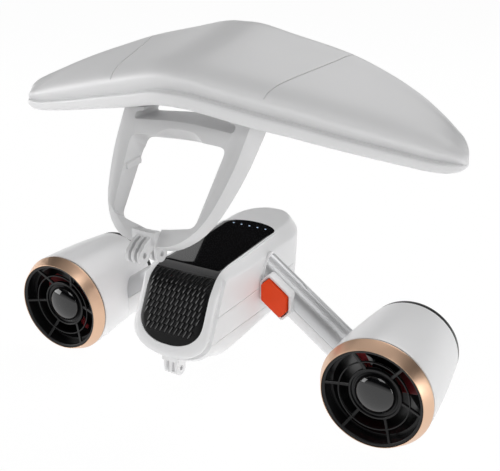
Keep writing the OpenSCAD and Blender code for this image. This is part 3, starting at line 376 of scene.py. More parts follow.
lightSet = {
    "key": {"at": (0.7, -1.15, 2.15), "wide": 1.3, "tall": 1.1, "power": 12},
    "side": {"at": (2.4, -0.4, 0.45), "wide": 1.0, "tall": 0.8, "power": 12},
    "fill": {"at": (-2.1, -0.75, 0.65), "wide": 2.4, "tall": 0.9, "power": 25},
    "rear": {"at": (0.2, 1.5, 1.7), "wide": 1.8, "tall": 1.0, "power": 15},
    "card": {"at": (-1.142, 1.454, 0.842), "wide": 0.36, "tall": 0.7, "power": 0.45, "roll": -27},
}
# brightness of the studio by the height of the direction, from straight down to straight up
skySet = [(-1.0, 0.9), (0.0, 0.85), (0.14, 0.5), (0.3, 0.015), (0.62, 0.015), (0.85, 0.22), (1.0, 0.28)]
floorSet = {"size": 16, "drop": 0.0005, "grey": 0.9, "rough": 0.9, "glow": 0.42, "share": 0.95}  # metres


def addLights():
    target = Vector((0, 0, 0.15))
    for name, row in lightSet.items():
        data = bpy.data.lights.new(name + "Light", "AREA")
        data.shape = "RECTANGLE"
        data.energy = row["power"]
        data.size = row["wide"]
        data.size_y = row["tall"]
        lamp = bpy.data.objects.new(name + "Light", data)
        lamp.location = row["at"]
        aim = (target - lamp.location).to_track_quat("-Z", "Y")
        lamp.rotation_euler = (aim @ Quaternion((0, 0, 1), math.radians(row.get("roll", 0)))).to_euler()
        scene.collection.objects.link(lamp)


def seenRays(tree):
    # 1 where the camera, a reflection or glass looks straight at it
    path = tree.nodes.new("ShaderNodeLightPath")
    total = path.outputs["Is Camera Ray"]
    for name in ("Is Glossy Ray", "Is Transmission Ray"):
        add = tree.nodes.new("ShaderNodeMath")
        add.operation = "MAXIMUM"
        tree.links.new(total, add.inputs[0])
        tree.links.new(path.outputs[name], add.inputs[1])
        total = add.outputs[0]
    return total


def addWorld():
    world = bpy.data.worlds.new("studio")
    scene.world = world
    world.use_nodes = True
    tree = world.node_tree
    tree.nodes.clear()
    out = tree.nodes.new("ShaderNodeOutputWorld")
    split = tree.nodes.new("ShaderNodeSeparateXYZ")
    tree.links.new(tree.nodes.new("ShaderNodeTexCoord").outputs["Generated"], split.inputs[0])
    height = tree.nodes.new("ShaderNodeMapRange")
    height.inputs["From Min"].default_value = -1
    tree.links.new(split.outputs["Z"], height.inputs["Value"])
    ramp = tree.nodes.new("ShaderNodeValToRGB")
    tree.links.new(height.outputs["Result"], ramp.inputs["Fac"])
    stops = ramp.color_ramp.elements
    while len(stops) < len(skySet):
        stops.new(0.5)
    for stop, (z, level) in zip(stops, skySet):
        stop.position = (z + 1) / 2
        stop.color = (level, level, level, 1)
    around = tree.nodes.new("ShaderNodeBackground")
    tree.links.new(ramp.outputs["Color"], around.inputs["Color"])
    seen = tree.nodes.new("ShaderNodeBackground")
    seen.inputs["Color"].default_value = (1, 1, 1, 1)
    mixer = tree.nodes.new("ShaderNodeMixShader")
    tree.links.new(tree.nodes.new("ShaderNodeLightPath").outputs["Is Camera Ray"], mixer.inputs[0])
    tree.links.new(around.outputs[0], mixer.inputs[1])
    tree.links.new(seen.outputs[0], mixer.inputs[2])
    tree.links.new(mixer.outputs[0], out.inputs["Surface"])


def addFloor():
    bpy.ops.object.select_all(action="DESELECT")
    bpy.ops.mesh.primitive_plane_add(size=floorSet["size"], location=(0, 0, -floorSet["drop"]))
    floor = bpy.context.object
    floor.name = "studioFloor"
    mat = bpy.data.materials.new("paleFloor")
    mat.use_nodes = True
    tree = mat.node_tree
    skin = tree.nodes["Principled BSDF"]
    skin.inputs["Base Color"].default_value = (*[floorSet["grey"]] * 3, 1)
    skin.inputs["Roughness"].default_value = floorSet["rough"]
    skin.inputs["Emission Color"].default_value = (1, 1, 1, 1)
    skin.inputs["Emission Strength"].default_value = floorSet["glow"]
    glow = tree.nodes.new("ShaderNodeEmission")
    glow.inputs["Strength"].default_value = 1
    share = tree.nodes.new("ShaderNodeMath")
    share.operation = "MULTIPLY"
    share.inputs[1].default_value = floorSet["share"]
    mixer = tree.nodes.new("ShaderNodeMixShader")
    tree.links.new(seenRays(tree), share.inputs[0])
    tree.links.new(share.outputs[0], mixer.inputs[0])
    tree.links.new(skin.outputs[0], mixer.inputs[1])
    tree.links.new(glow.outputs[0], mixer.inputs[2])
    tree.links.new(mixer.outputs[0], tree.nodes["Material Output"].inputs["Surface"])
    floor.data.materials.append(mat)


addCamera()
addLights()
addWorld()
addFloor()
print("camera, light and floor set")

bodySet = {
    "half": 42, "top": 96.5, "noseY": -58.5, "noseZ": 28, "tilt": 26.5, "bend": 35, "faceHalf": 36.5,
    "rim": 5.5,
    # the groove behind the rim, as (depth behind the nose face, how far it is sunk)
    "groove": [(2.8, 0), (5.2, 1.1), (7.6, 2.3), (10.0, 3.4), (10.8, 0)],
    "depths": [0, 0.12, 0.4, 0.85, 1.4, 1.9, 2.3, 2.5, 2.7, 2.9, 3.1, 3.3, 3.8, 4.8, 6, 7.5, 9, 9.8, 10.1,
               10.3, 10.5, 10.7, 10.9, 11.2, 11.8, 13, 15, 17],
    "lowRound": 27, "lowPower": 0.86, "shoulderSoft": 2.6, "topSoft": 2.2, "topHalf": (35, 31.2),
    "chin": 8, "chinFoot": 2, "chinLow": (-6, -7.2), "noseDrop": (1.6, 4.6), "dropRun": 15,
    "belly": 2, "bellyRise": 10.9, "bellyFrom": -4.5, "bellyRun": 39.8, "tailStart": (113, 121),
    "wall": 2.4, "capDepth": 10.5, "pocketEdge": 0.9,
    "seamUpper": (60.5, 54.5), "seamKeel": (36, 27.5), "seamFrom": -30, "seamRun": 130, "seamGap": 0.5,
    "seamEdge": 0.35, "gasketSize": 0.97, "gasketMid": (0, 40, 56),
}
tilt = math.radians(bodySet["tilt"])
noseUp = Vector((math.sin(tilt), math.cos(tilt)))  # along the nose face, in Y and Z
noseIn = Vector((math.cos(tilt), -math.sin(tilt)))  # square into the body
noseTip = Vector((bodySet["noseY"], bodySet["noseZ"]))
cornerY = bodySet["noseY"] + (bodySet["top"] - bodySet["noseZ"]) * math.tan(tilt)
bendTurn = math.pi / 2 - tilt
bendY = cornerY + bodySet["bend"] * math.tan(bendTurn / 2)
bendMid = Vector((bendY, bodySet["top"] - bodySet["bend"]))
bendRise = (bendMid - noseTip).dot(noseUp)
bendDepth = bodySet["bend"] * (1 - math.cos(bendTurn))

# the shoulder's depth below the top by place along Y, and the tail's Y and Z by share of the height
shoulderDrop = [(-40, 2.6), (-18, 3.6), (3, 5.6), (29, 8.6), (57, 10.6), (90, 11.8), (170, 12.5)]
tailY = [(0, 150), (0.1, 156.5), (0.25, 162), (0.5, 167), (0.75, 169.6), (0.92, 168.8), (1.0, 165.5)]
tailZ = [(0, 13), (0.1, 20), (0.25, 32), (0.5, 53), (0.75, 76), (0.92, 90), (1.0, 95)]


def bellyZ(y):
    s = bodySet
    if y >= s["bellyFrom"]:
        return s["belly"]
    return s["belly"] + s["bellyRise"] * ((s["bellyFrom"] - y) / s["bellyRun"]) ** 1.6


def halfRing(height, half, topHalf, drop):
    # right half of a section from the bottom to the top, as (x, height above the bottom)
    s = bodySet
    low, power = s["lowRound"], s["lowPower"]
    turns = [math.pi / 2 * k / 14 for k in range(15)]
    pts = [(half * math.sin(a) ** power, low * (1 - math.cos(a) ** power)) for a in turns]
    corners = [(half, low, 0), (half, height - drop, s["shoulderSoft"]), (topHalf, height, s["topSoft"]),
               (0, height, 0)]
    line = softOutline(corners, steps=4, closed=False)
    pts += [tuple(line[0].lerp(line[1], k / 10)) for k in range(1, 10)]
    pts += [tuple(p) for p in line[1:-1]]
    pts += [tuple(line[-2].lerp(line[-1], k / 8)) for k in range(1, 9)]
    return pts


def noseRings():
    # sections level with the nose face, from the face back to the end of the bend
    s = bodySet
    chin = s["chin"]
    rings = []
    for d in s["depths"] + [bendDepth]:
        dip = along(s["groove"], d)
        k = min(d / s["rim"], 1)
        half = mix(s["faceHalf"], s["half"], math.sqrt(1 - (1 - k) ** 2)) - dip
        if d < chin:
            low = s["chinFoot"] - math.sqrt(chin**2 - (chin - d) ** 2)
        else:
            low = mix(*s["chinLow"], (d - chin) / (bendDepth - chin))
        low += dip * 0.9
        high = bendRise + math.sqrt(s["bend"] ** 2 - (s["bend"] - d) ** 2)
        base = noseTip + noseIn * d + noseUp * low
        topHalf = min(mix(*s["topHalf"], min(1, d / bendDepth) ** 0.6), half - 0.8)
        drop = mix(*s["noseDrop"], min(1, d / s["dropRun"]))
        rings.append([(x, *(base + noseUp * h)) for x, h in halfRing(high - low, half, topHalf, drop)])
    return rings


def faceRings(first):
    # the flat face, from its middle out to the first section
    heart = noseTip + noseUp * bodySet["lowRound"]
    return [[(x * f, mix(heart.x, y, f), mix(heart.y, z, f)) for x, y, z in first]
            for f in (0.0, 0.3, 0.6, 0.85, 0.96)]


def tailRings(back, shares):
    # the last section is drawn in to the tail's upright line
    rings = []
    for k in range(1, 15):
        a = math.pi / 2 * k / 14
        thin, reach = math.cos(a), math.sin(a)
        rings.append([(x * thin, mix(y, along(tailY, f), reach), mix(z, along(tailZ, f), 1 - thin))
                      for (x, y, z), f in zip(back, shares)])
    return rings


def bodyRings():
    s = bodySet
    rings = noseRings()
    rings = faceRings(rings[0]) + rings
    bendLow = noseTip + noseIn * bendDepth + noseUp * s["chinLow"][1]
    bendTop = Vector((bendY, s["top"]))
    for k in range(1, 23):
        q = k / 22
        y = mix(bendLow.x, s["tailStart"][0], q)
        low = Vector((y, mix(bendLow.y, bellyZ(y), min(1, q * 6))))
        top = Vector((mix(bendTop.x, s["tailStart"][1], q), s["top"]))
        line = top - low
        ring = halfRing(line.length, s["half"], s["topHalf"][1], along(shoulderDrop, top.x))
        rings.append([(x, *(low + line.normalized() * h)) for x, h in ring])
    return rings + tailRings(rings[-1], [h / line.length for _, h in ring])


def makeBody():
    rings = bodyRings()
    half = len(rings[0])
    count = 2 * half - 2

    def where(i, j):
        i %= count
        if i < half:
            return spot(*rings[j][i])
        x, y, z = rings[j][count - i]
        return spot(-x, y, z)

    return drapeGrid("bodyWhole", count, len(rings) - 1, where, closed=True)


panelSet = {
    "rear": 117, "half": 30.5, "noseHalf": 34, "flareFrom": -8, "flareRun": 34, "low": 34, "rearRound": 17.5,
    "lowRound": 25, "thick": 1.2, "sunk": 0.2, "gap": 0.3, "pocket": 1.5, "pocketAbove": 2, "split": 0.45,
    "splitGap": 0.15, "edge": 0.12,
}
finSet = {
    "rows": 9, "cols": 12, "step": 5.2, "shift": -2.0, "lean": 3.0, "wide": 2.8, "long": 7.4, "tall": 1.2,
    "start": 3.4, "stop": 14, "margin": 4.5, "marginAt": 3.2,
    "ledgeGap": 0.6, "ledgeMargin": 4, "ledgeHalf": 0.45, "ledgeTall": 0.4, "ledgeFoot": 0.2,
    # share of the length from the foot, then of the width and height there
    "ridge": [(0, 0.35, 0.15), (0.2, 0.7, 0.5), (0.5, 0.95, 0.85), (0.78, 1.0, 1.0), (0.94, 0.9, 0.8),
              (1.0, 0.5, 0.3)],
    "loop": [(-0.5, -0.4), (-0.5, 0.02), (0.22, 1.0), (0.36, 0.92), (0.5, 0.1), (0.5, -0.4)],
}
topRun = panelSet["rear"] - bendY
bendRun = bodySet["bend"] * bendTurn
faceTop = bendMid + Vector((-math.sin(bendTurn), math.cos(bendTurn))) * bodySet["bend"]
faceRun = (faceTop.y - panelSet["low"]) / math.cos(tilt)
panelRun = topRun + bendRun + faceRun
panelSplit = topRun + panelSet["split"] * bendRun


def panelPoint(s, sunk):
    # s runs from the panel's rear end over the bend and down the nose
    if s < topRun:
        return Vector((panelSet["rear"] - s, bodySet["top"] - sunk))
    if s < topRun + bendRun:
        a = (s - topRun) / bodySet["bend"]
        return bendMid + Vector((-math.sin(a), math.cos(a))) * (bodySet["bend"] - sunk)
    return faceTop - noseUp * (s - topRun - bendRun) + noseIn * sunk


def panelHalf(s, grow):
    # half the width at a place along the route: round behind, wider on the nose, round below
    p = panelSet
    wide = mix(p["half"], p["noseHalf"], min(1, max(0, (s - topRun - p["flareFrom"]) / p["flareRun"]))) + grow
    end = p["rearRound"] + grow
    if s + grow < end:
        wide *= math.sqrt(max(0, 1 - ((end - s - grow) / end) ** 2))
    end = p["lowRound"] + grow
    left = panelRun - s + grow
    if left < end:
        wide *= max(0, 1 - ((end - left) / end) ** 2.2) ** 0.45
    return wide


def panelStops(s0, s1):
    # even steps, with finer ones at the round ends
    stops = [s0 + (s1 - s0) * k / 60 for k in range(61)]
    if s0 <= 0:
        stops += [s0 + 9 * (k / 8) ** 2 for k in range(8)]
    if s1 >= panelRun:
        stops += [s1 - 7 * (k / 8) ** 2 for k in range(8)]
    return sorted(set(round(s, 4) for s in stops), reverse=True)


def makePanel(name, s0, s1, sunk, thick, grow):
    stops = panelStops(s0, s1)
    cols = 16

    def where(i, j):
        y, z = panelPoint(stops[j], sunk)
        return spot((i / cols - 0.5) * 2 * panelHalf(stops[j], grow), y, z)

    piece = drapeGrid(name, cols, len(stops) - 1, where)
    thicken(piece, thick)
    return piece


def makeFin(s, x):
    # a leaning ridge that is tall near its top and runs out towards the foot
    f = finSet
    rings = []
    for t, wide, high in f["ridge"]:
        ring = []
        for u, h in f["loop"]:
            y, z = panelPoint(s + f["long"] * (0.5 - t), panelSet["sunk"] - f["tall"] * high * h)
            ring.append(spot(x + f["wide"] * wide * u + f["lean"] * t, y, z))
        rings.append(ring)
    return sweepBar("fin", rings)


def makeLedge(s):
    # a low ledge across the panel, under a row of fins
    f = finSet
    wide = panelHalf(s, 0) - f["ledgeMargin"]
    turns = [2 * math.pi * k / 6 for k in range(6)]
    foot = panelSet["sunk"] + f["ledgeFoot"]
    loop = [panelPoint(s + f["ledgeHalf"] * math.cos(a), foot - f["ledgeTall"] * max(0, math.sin(a)))
            for a in turns]
    return sweepBar("ledge", [[spot(mix(-wide, wide, k / 12), y, z) for y, z in loop] for k in range(13)])


def makeFins():
    f = finSet
    parts = []
    for row in range(f["rows"]):
        s = mix(panelSplit + f["start"], panelRun - f["stop"], row / (f["rows"] - 1))
        for col in range(f["cols"]):
            x = (col - (f["cols"] - 1) / 2) * f["step"]
            if abs(x) < panelHalf(s + f["marginAt"], 0) - f["margin"]:
                parts.append(makeFin(s, x + f["shift"]))
        parts.append(makeLedge(s + f["long"] / 2 + f["ledgeGap"]))
    return parts


def cutByPlane(piece, heights, keepAbove, gap):
    # heights are the seam's height at seamFrom and at seamRun behind it
    s = bodySet
    shift = gap / 2 if keepAbove else -gap / 2
    middle = spot(0, s["seamFrom"], heights[0] + shift)
    normal = Vector((0, heights[0] - heights[1], s["seamRun"])).normalized()
    inEdit(piece, lambda: bpy.ops.mesh.bisect(plane_co=middle, plane_no=normal, clear_inner=keepAbove,
                                              clear_outer=not keepAbove))


def makeShellPart(whole, name, above, below, gap):
    # the part between two seams: behind the rim if there is a gap, or else the rim, which shows no seam
    s = bodySet
    part = copyOf(whole, name)
    rimEnd = spot(0, *(noseTip + noseIn * s["capDepth"]))
    inEdit(part, lambda: bpy.ops.mesh.bisect(plane_co=rimEnd, plane_no=(0, *noseIn), clear_inner=gap > 0,
                                             clear_outer=gap == 0))
    if above:
        cutByPlane(part, s[above], True, gap)
    if below:
        cutByPlane(part, s[below], False, gap)
    thicken(part, s["wall"])
    if gap:
        softEdges(part, s["seamEdge"], 40)
    return part


def buildShells():
    s, p = bodySet, panelSet
    whole = makeBody()
    proud = p["pocketAbove"]
    cutAway(whole, makePanel("pocket", 0, panelRun, -proud, proud + p["pocket"], p["gap"]))
    softEdges(whole, s["pocketEdge"], 60, 3)
    for node, above, below in (("body_upper_shell", "seamUpper", None),
                               ("body_lower_shell", "seamKeel", "seamUpper"),
                               ("keel_cover", None, "seamKeel")):
        name = node.replace("_", "-")
        parts = [makeShellPart(whole, name, above, below, gap) for gap in (s["seamGap"], 0)]
        deliver(joinAll(name, parts), "white_shell", "scooter", node)
    bpy.data.objects.remove(whole)


def buildPanels():
    p = panelSet
    top = makePanel("control-panel", 0, panelSplit, p["sunk"], p["thick"], 0)
    softEdges(top, p["edge"], 40)
    deliver(top, "black_gloss", "scooter", "control_panel")
    nose = makePanel("nose-panel", panelSplit + p["splitGap"], panelRun, p["sunk"], p["thick"], 0)
    softEdges(nose, p["edge"], 40)
    deliver(joinAll("nose-panel", [nose] + makeFins()), "black_satin", "scooter", "nose_panel")


def buildGasket():
    # drawn in a little, so that it stays inside the shells
    size = bodySet["gasketSize"]
    gasket = cadCopy("shell_gasket", "shell-gasket", 0.2)
    inEdit(gasket, lambda: bpy.ops.transform.resize(value=(size, size, 1),
                                                    center_override=spot(*bodySet["gasketMid"])))
    deliver(gasket, "black_rubber", "scooter", "shell_gasket")


buildShells()
buildPanels()
buildGasket()
print("body built")

# profiles are (radius, place along the axis, rounding)
ductSet = {
    "centre": 182.85, "steps": 128, "shellStart": 14.2, "shellLen": 93.8, "shellFront": 55.2, "taper": 6.6,
    "wall": 2.6, "trimBore": 49.0, "trimWide": 55.6, "trimLen": 13,
    "liner": [(42.5, 13, 0.4), (54, 13.15, 0.2), (54, 14.1, 0.2), (44.5, 14.3, 0.2), (44.5, 102, 0.3),
              (42.5, 102, 0.3)],
    "outlet": [(41.9, 108.2, 0.8), (41.9, 114, 1.2), (47.8, 114, 1.2), (48.4, 108.25, 0.4),
               (45.4, 108.25, 0.2), (45.4, 102.3, 0.4), (42.0, 102.3, 0.4)],
    "cap": [(0, 109, 0), (6.5, 109.2, 1), (6.5, 112.6, 1.4), (0, 113.6, 0)],
    "bars": 4, "barReach": (-42.6, -30, -15, 0, 15, 30, 42.6),
    "barLoop": [(-1.1, 109.6), (-1.1, 112.2), (-0.5, 112.9), (0.5, 112.9), (1.1, 112.2), (1.1, 109.6),
                (0, 109.1)],
}


def shellRadius(y):
    t = min(1, max(0, (y - ductSet["shellStart"]) / ductSet["shellLen"]))
    return ductSet["shellFront"] - ductSet["taper"] * t**1.7


def profileOf(corners, steps=4):
    return [tuple(p) for p in softOutline(corners, steps)]


def spokePoint(r, angle, u, y):
    # r out along a spoke of the right thruster, u to its side, y along the axis
    return spot(ductSet["centre"] + r * math.cos(angle) - u * math.sin(angle), y,
                r * math.sin(angle) + u * math.cos(angle))


def buildDuctShells():
    d = ductSet
    y0, y1, wall = d["shellStart"], d["shellStart"] + d["shellLen"], d["wall"]
    outer = [(shellRadius(mix(y0, y1, k / 16)), mix(y0, y1, k / 16)) for k in range(17)]
    corners = [(outer[0][0] - wall, y0, 0.8), (*outer[0], 0.8)]
    corners += [(*p, 0) for p in outer[1:-1]]
    corners += [(*outer[-1], 1.4), (outer[-1][0] - wall, y1, 0.8)]
    corners += [(r - wall, y, 0) for r, y in reversed(outer[1:-1])]
    shell = spinProfile("right-duct-shell", profileOf(corners), d["steps"])
    deliverPair(shell, "white_shell", "scooter", "duct_shell")


def buildTrimRings():
    d = ductSet
    bore, wide, deep = d["trimBore"], d["trimWide"], d["trimLen"]
    trim = [(bore, 0.2, 0.2), (bore + 0.5, 0, 0.3), (wide - 0.3, deep - 1.2, 1.0), (wide - 0.9, deep, 0.6),
            (bore, deep, 0.4)]
    ring = spinProfile("right-trim-ring", profileOf(trim, 5), d["steps"])
    deliverPair(ring, "rose_gold", "scooter", "trim_ring")


def buildLiners():
    liner = spinProfile("right-duct-liner", profileOf(ductSet["liner"], 2), ductSet["steps"])
    deliverPair(liner, "black_satin", "scooter", "duct_liner")


def buildOutlets():
    d = ductSet
    parts = [spinProfile("right-outlet-ring", profileOf(d["outlet"], 3), d["steps"])]
    for k in range(d["bars"]):
        a = math.pi * k / d["bars"]
        rings = [[spokePoint(r, a, u, y) for u, y in d["barLoop"]] for r in d["barReach"]]
        parts.append(sweepBar("bar", rings))
    parts.append(spinProfile("cap", profileOf(d["cap"]), lacksEnd=True))
    deliverPair(joinAll("right-outlet-ring", parts), "black_satin", "scooter", "outlet_ring")


guardSet = {
    "rim": [(45.8, 1.6, 0.8), (48.7, 0.7, 0.8), (48.7, 12.8, 0.3), (45.8, 12.8, 0.3)],
    "hub": [(23.6, 10.4, 0.5), (24.2, 9.8, 0.5), (26, 10, 0.7), (26, 14, 0.4), (23.6, 14, 0.4)],
    "plate": [(0, 12.2, 0), (21, 12.2, 0.3), (22, 11.6, 0.4), (24, 11.6, 0.3), (24, 13.9, 0.3), (0, 13.9, 0)],
    "mid": 34.5, "midHalf": 0.6, "dishFrom": 45, "dishTo": 26, "front": 0.8, "dish": 9.2,
    "spokes": 6, "turn": -4.5, "spokeRun": (24.8, 46.4), "spokeY": (10.6, 1.4), "spokeWide": 3.0,
    "dome": 20, "domeTall": 8, "domeFoot": 11.2, "domeBack": 12.1,
}


def makeMidRing():
    g = guardSet
    y = g["front"] + g["dish"] * (g["dishFrom"] - g["mid"]) / (g["dishFrom"] - g["dishTo"])
    inner, outer = g["mid"] - g["midHalf"], g["mid"] + g["midHalf"]
    line = [(inner, y + 0.8, 0.3), (outer, y + 0.6, 0.4), (outer, y + 3, 0.3), (inner, y + 3, 0.3)]
    return spinProfile("mid", profileOf(line, 2))


def makeSpoke(angle):
    g = guardSet
    rings = []
    for t in (0, 0.2, 0.4, 0.6, 0.8, 1):
        y = mix(*g["spokeY"], t**1.15)
        wide = g["spokeWide"] / 2 * mix(1.12, 0.92, t)
        loop = [(-wide, y + 0.5), (-wide, y + 2.4), (0, y + 3), (wide, y + 2.4), (wide, y + 0.5),
                (wide * 0.7, y), (-wide * 0.7, y)]
        rings.append([spokePoint(mix(*g["spokeRun"], t), angle, u, v) for u, v in loop])
    return sweepBar("spoke", rings)


def buildGuards():
    g = guardSet
    parts = [spinProfile("right-intake-guard", profileOf(g["rim"], 3)),
             spinProfile("hub", profileOf(g["hub"], 3)), makeMidRing(),
             spinProfile("plate", profileOf(g["plate"], 2), lacksEnd=True)]
    parts += [makeSpoke(2 * math.pi * k / g["spokes"] + math.radians(g["turn"])) for k in range(g["spokes"])]
    deliverPair(joinAll("right-intake-guard", parts), "black_satin", "scooter", "intake_guard")


def buildDomes():
    g = guardSet
    turns = [math.radians(a) for a in range(0, 91, 6)]
    dome = [(g["dome"] * math.sin(a), g["domeFoot"] - g["domeTall"] * math.cos(a)) for a in turns]
    dome += [(g["dome"], g["domeBack"]), (0, g["domeBack"])]
    deliverPair(spinProfile("right-hub-dome", dome, lacksEnd=True), "black_gloss", "scooter", "hub_dome")


bladeSet = {
    "hub": [(0, 18.2, 0), (3.5, 18.4, 1.5), (8.2, 22.5, 3), (9, 26, 2), (9, 41.8, 0.8), (3.2, 41.8, 0.3),
            (3.2, 23, 0.3), (0, 22.6, 0)],
    "blades": 3, "turn": 0.35, "tip": 39.8, "root": 7.5, "chord": 24, "mid": 33, "thick": 2.2,
    "pitch": (58, 27), "sweep": -3, "camber": 0.04,
}


def makeBlade(turn):
    b = bladeSet
    rings = []
    for t in (0, 0.12, 0.28, 0.45, 0.62, 0.78, 0.9, 0.97, 1.0):
        r = mix(b["root"], b["tip"], t)
        chord = b["chord"] * (0.62 + 0.75 * t - 0.42 * t * t)
        if t >= 0.9:  # the tip is rounded off
            chord *= mix(0.96, 0.35, (t - 0.9) / 0.1)
        pitch = math.radians(mix(*b["pitch"], t))
        thick = b["thick"] * mix(1.3, 0.5, t)
        ring = []
        for k in range(12):
            a = 2 * math.pi * k / 12
            u = math.cos(a) * chord / 2 + b["sweep"] * t * t
            v = math.sin(a) * thick / 2 + b["camber"] * (chord / 2 - abs(u))
            angle = turn + (u * math.cos(pitch) - v * math.sin(pitch)) / max(r, 12)
            back = u * math.sin(pitch) + v * math.cos(pitch)
            ring.append(spokePoint(r, angle, 0, b["mid"] + back * 0.8))
        rings.append(ring)
    return sweepBar("blade", rings)


def buildPropellers():
    b = bladeSet
    parts = [spinProfile("right-propeller", profileOf(b["hub"]), lacksEnd=True)]
    parts += [makeBlade(2 * math.pi * k / b["blades"] + b["turn"]) for k in range(b["blades"])]
    deliverPair(joinAll("right-propeller", parts), "propeller_red", "right_drive", "propeller")


podSet = {
    "pod": [(8.2, 43, 0.4), (14, 43, 2.5), (19, 47, 3), (19, 86, 3), (14, 91, 3), (8.2, 91, 0.4),
            (8.2, 86.4, 0.3), (17, 86.4, 0.3), (17, 50.6, 0.3), (8.2, 50.6, 0.3)],
    "vanes": 5, "turn": 18, "reach": (17.6, 22, 28, 34, 39, 42.2), "mid": 74.5, "half": 15, "thick": 2.5,
    "curl": 0.16, "curlFrom": 68,
}


def buildPods():
    p = podSet
    loop = []
    for a in (2 * math.pi * k / 10 for k in range(10)):
        y = p["mid"] + p["half"] * math.cos(a)
        loop.append((p["thick"] / 2 * math.sin(a) + p["curl"] * max(0, p["curlFrom"] - y), y))
    parts = [spinProfile("right-stator-vanes", profileOf(p["pod"]))]
    for k in range(p["vanes"]):
        a = 2 * math.pi * k / p["vanes"] + math.radians(p["turn"])
        parts.append(sweepBar("vane", [[spokePoint(r, a, u, y) for u, y in loop] for r in p["reach"]]))
    deliverPair(joinAll("right-stator-vanes", parts), "black_satin", "scooter", "stator_vanes")


buildDuctShells()
buildTrimRings()
buildLiners()
buildOutlets()
buildGuards()
buildDomes()
buildPropellers()
buildPods()
print("thrusters built")

armSet = {"root": (42, 71, 64), "slope": 36, "high": 19.2, "deep": 15.6, "wall": 2.4, "seam": 0.35,
          "edge": 0.35, "start": 1.2, "sunk": 0.8}
gripSet = {"start": 30, "length": 62, "half": 12, "turn": 38, "gap": 0.35, "thick": 1.3, "sunk": 0.1,
           "over": 2, "edge": 0.3, "cutFrom": 9, "cutTo": 30}
armSlope = math.radians(armSet["slope"])
armOut = Vector((math.cos(armSlope), 0, -math.sin(armSlope)))
armUp = Vector((math.sin(armSlope), 0, math.cos(armSlope)))
armRoot = Vector(armSet["root"])
rearward = Vector((0, 1, 0))


def armPoint(reach, angle, shrink=0.0):
    # angle 0 is the front of the oval section, 90 degrees its top
    front = -rearward * (armSet["deep"] - shrink) * math.cos(angle)
    return armRoot + armOut * reach + (front + armUp * (armSet["high"] - shrink) * math.sin(angle))


def armReach(angle):
    # reach at which the section's point meets the duct shell, sunk in a little
    p = armPoint(0, angle)
    radius = shellRadius(p.y) - armSet["sunk"]
    dx, dz = p.x - ductSet["centre"], p.z
    b = dx * armOut.x + dz * armOut.z
    c = dx * dx + dz * dz - radius * radius
    return -b - math.sqrt(max(0, b * b - c))


def armStart(angle):
    return (armSet["root"][0] + armSet["start"] - armPoint(0, angle).x) / armOut.x


def makeArmHalf(name, first, last):
    cols, rows = 40, 32

    def where(i, j):
        angle = mix(first, last, j / rows)
        return spot(*armPoint(mix(armStart(angle), armReach(angle), i / cols), angle))

    piece = drapeGrid(name, cols, rows, where)
    thicken(piece, armSet["wall"])
    return piece


def gripOutline(grow):
    # a slot with round ends, as (reach, place across)
    g = gripSet
    radius = g["half"] + grow
    pts = []
    for middle, first in ((g["start"] + g["length"] - g["half"], -math.pi / 2),
                          (g["start"] + g["half"], math.pi / 2)):
        turns = [first + math.pi * k / 32 for k in range(33)]
        pts += [(middle + radius * math.cos(a), radius * math.sin(a)) for a in turns]
    return pts


def makeGripCutter(grow):
    g = gripSet
    turn = math.radians(g["turn"])
    face = armUp * math.cos(turn) + rearward * math.sin(turn)
    wide = rearward * math.cos(turn) - armUp * math.sin(turn)
    line = [armRoot + armOut * x + wide * w for x, w in gripOutline(grow)]
    return sweepBar("gripCutter", [[spot(*(p + face * h)) for p in line] for h in (g["cutFrom"], g["cutTo"])])


def makeGrip():
    g = gripSet
    cols, rows = 48, 40

    def where(i, j):
        reach = mix(g["start"] - g["over"], g["start"] + g["length"] + g["over"], j / rows)
        return spot(*armPoint(reach, mix(0, math.pi, i / cols), g["sunk"]))

    piece = drapeGrid("right-grip-plate", cols, rows, where)
    inEdit(piece, bpy.ops.mesh.flip_normals)
    thicken(piece, g["thick"])
    cutAway(piece, makeGripCutter(0), "INTERSECT")
    softEdges(piece, g["edge"], 40)
    return piece


def buildArms():
    a = armSet
    gap = a["seam"] / 2 / a["deep"]
    upper = makeArmHalf("right-arm-upper", gap, math.pi - gap)
    cutAway(upper, makeGripCutter(gripSet["gap"]))
    softEdges(upper, a["edge"], 40)
    deliverPair(upper, "arm_silver", "scooter", "arm_upper")
    lower = makeArmHalf("right-arm-lower", math.pi + gap, 2 * math.pi - gap)
    softEdges(lower, a["edge"], 40)
    deliverPair(lower, "white_shell", "scooter", "arm_lower")
    deliverPair(makeGrip(), "arm_grey", "scooter", "grip_plate")
    collar = cadCopy("right_arm_collar", "right-arm-collar", 0.7, 35, 3)
    deliverPair(collar, "white_shell", "scooter", "arm_collar")


def buildTriggers():
    lever = cadCopy("right_trigger", "right-trigger", 2.0, 70, 1)
    softEdges(lever, 0.4, 30)
    deliverPair(lever, "trigger_orange", "right_trigger_lever", "trigger")


buildArms()
buildTriggers()
print("arms and triggers built")

# half and tipPower are for the upper and the lower shell, whose wall is added outside its outline
hullSet = {
    "half": (236.3, 234.9), "tipFrom": 222, "tipPower": (0.55, 0.8), "wall": 1.4, "seamGap": 0.16,
    "soft": 24, "span": 237, "leadY": -37.5, "leadRun": 78, "trailY": 130, "trailRun": 72, "seamTall": 19.5,
    "grooveMid": 94.5, "grooveHalf": 0.47, "grooveDepth": 1.1, "grooveX": (76, 110.5), "grooveY": (-17, 103),
    "grooveSpread": 34, "grooveRows": (19, 14), "deckSlope": 0.25,
    # steps behind the leading edge and height above the lower edge, along the front
    "lip": [(6.4, 13.6), (5.4, 18)],
    "chin": [(4, 11), (1.5, 10.8), (0.4, 10.5), (0, 9.6), (0, 7), (0.2, 3.6), (1.1, 1), (4.5, 0), (12, 0)],
}
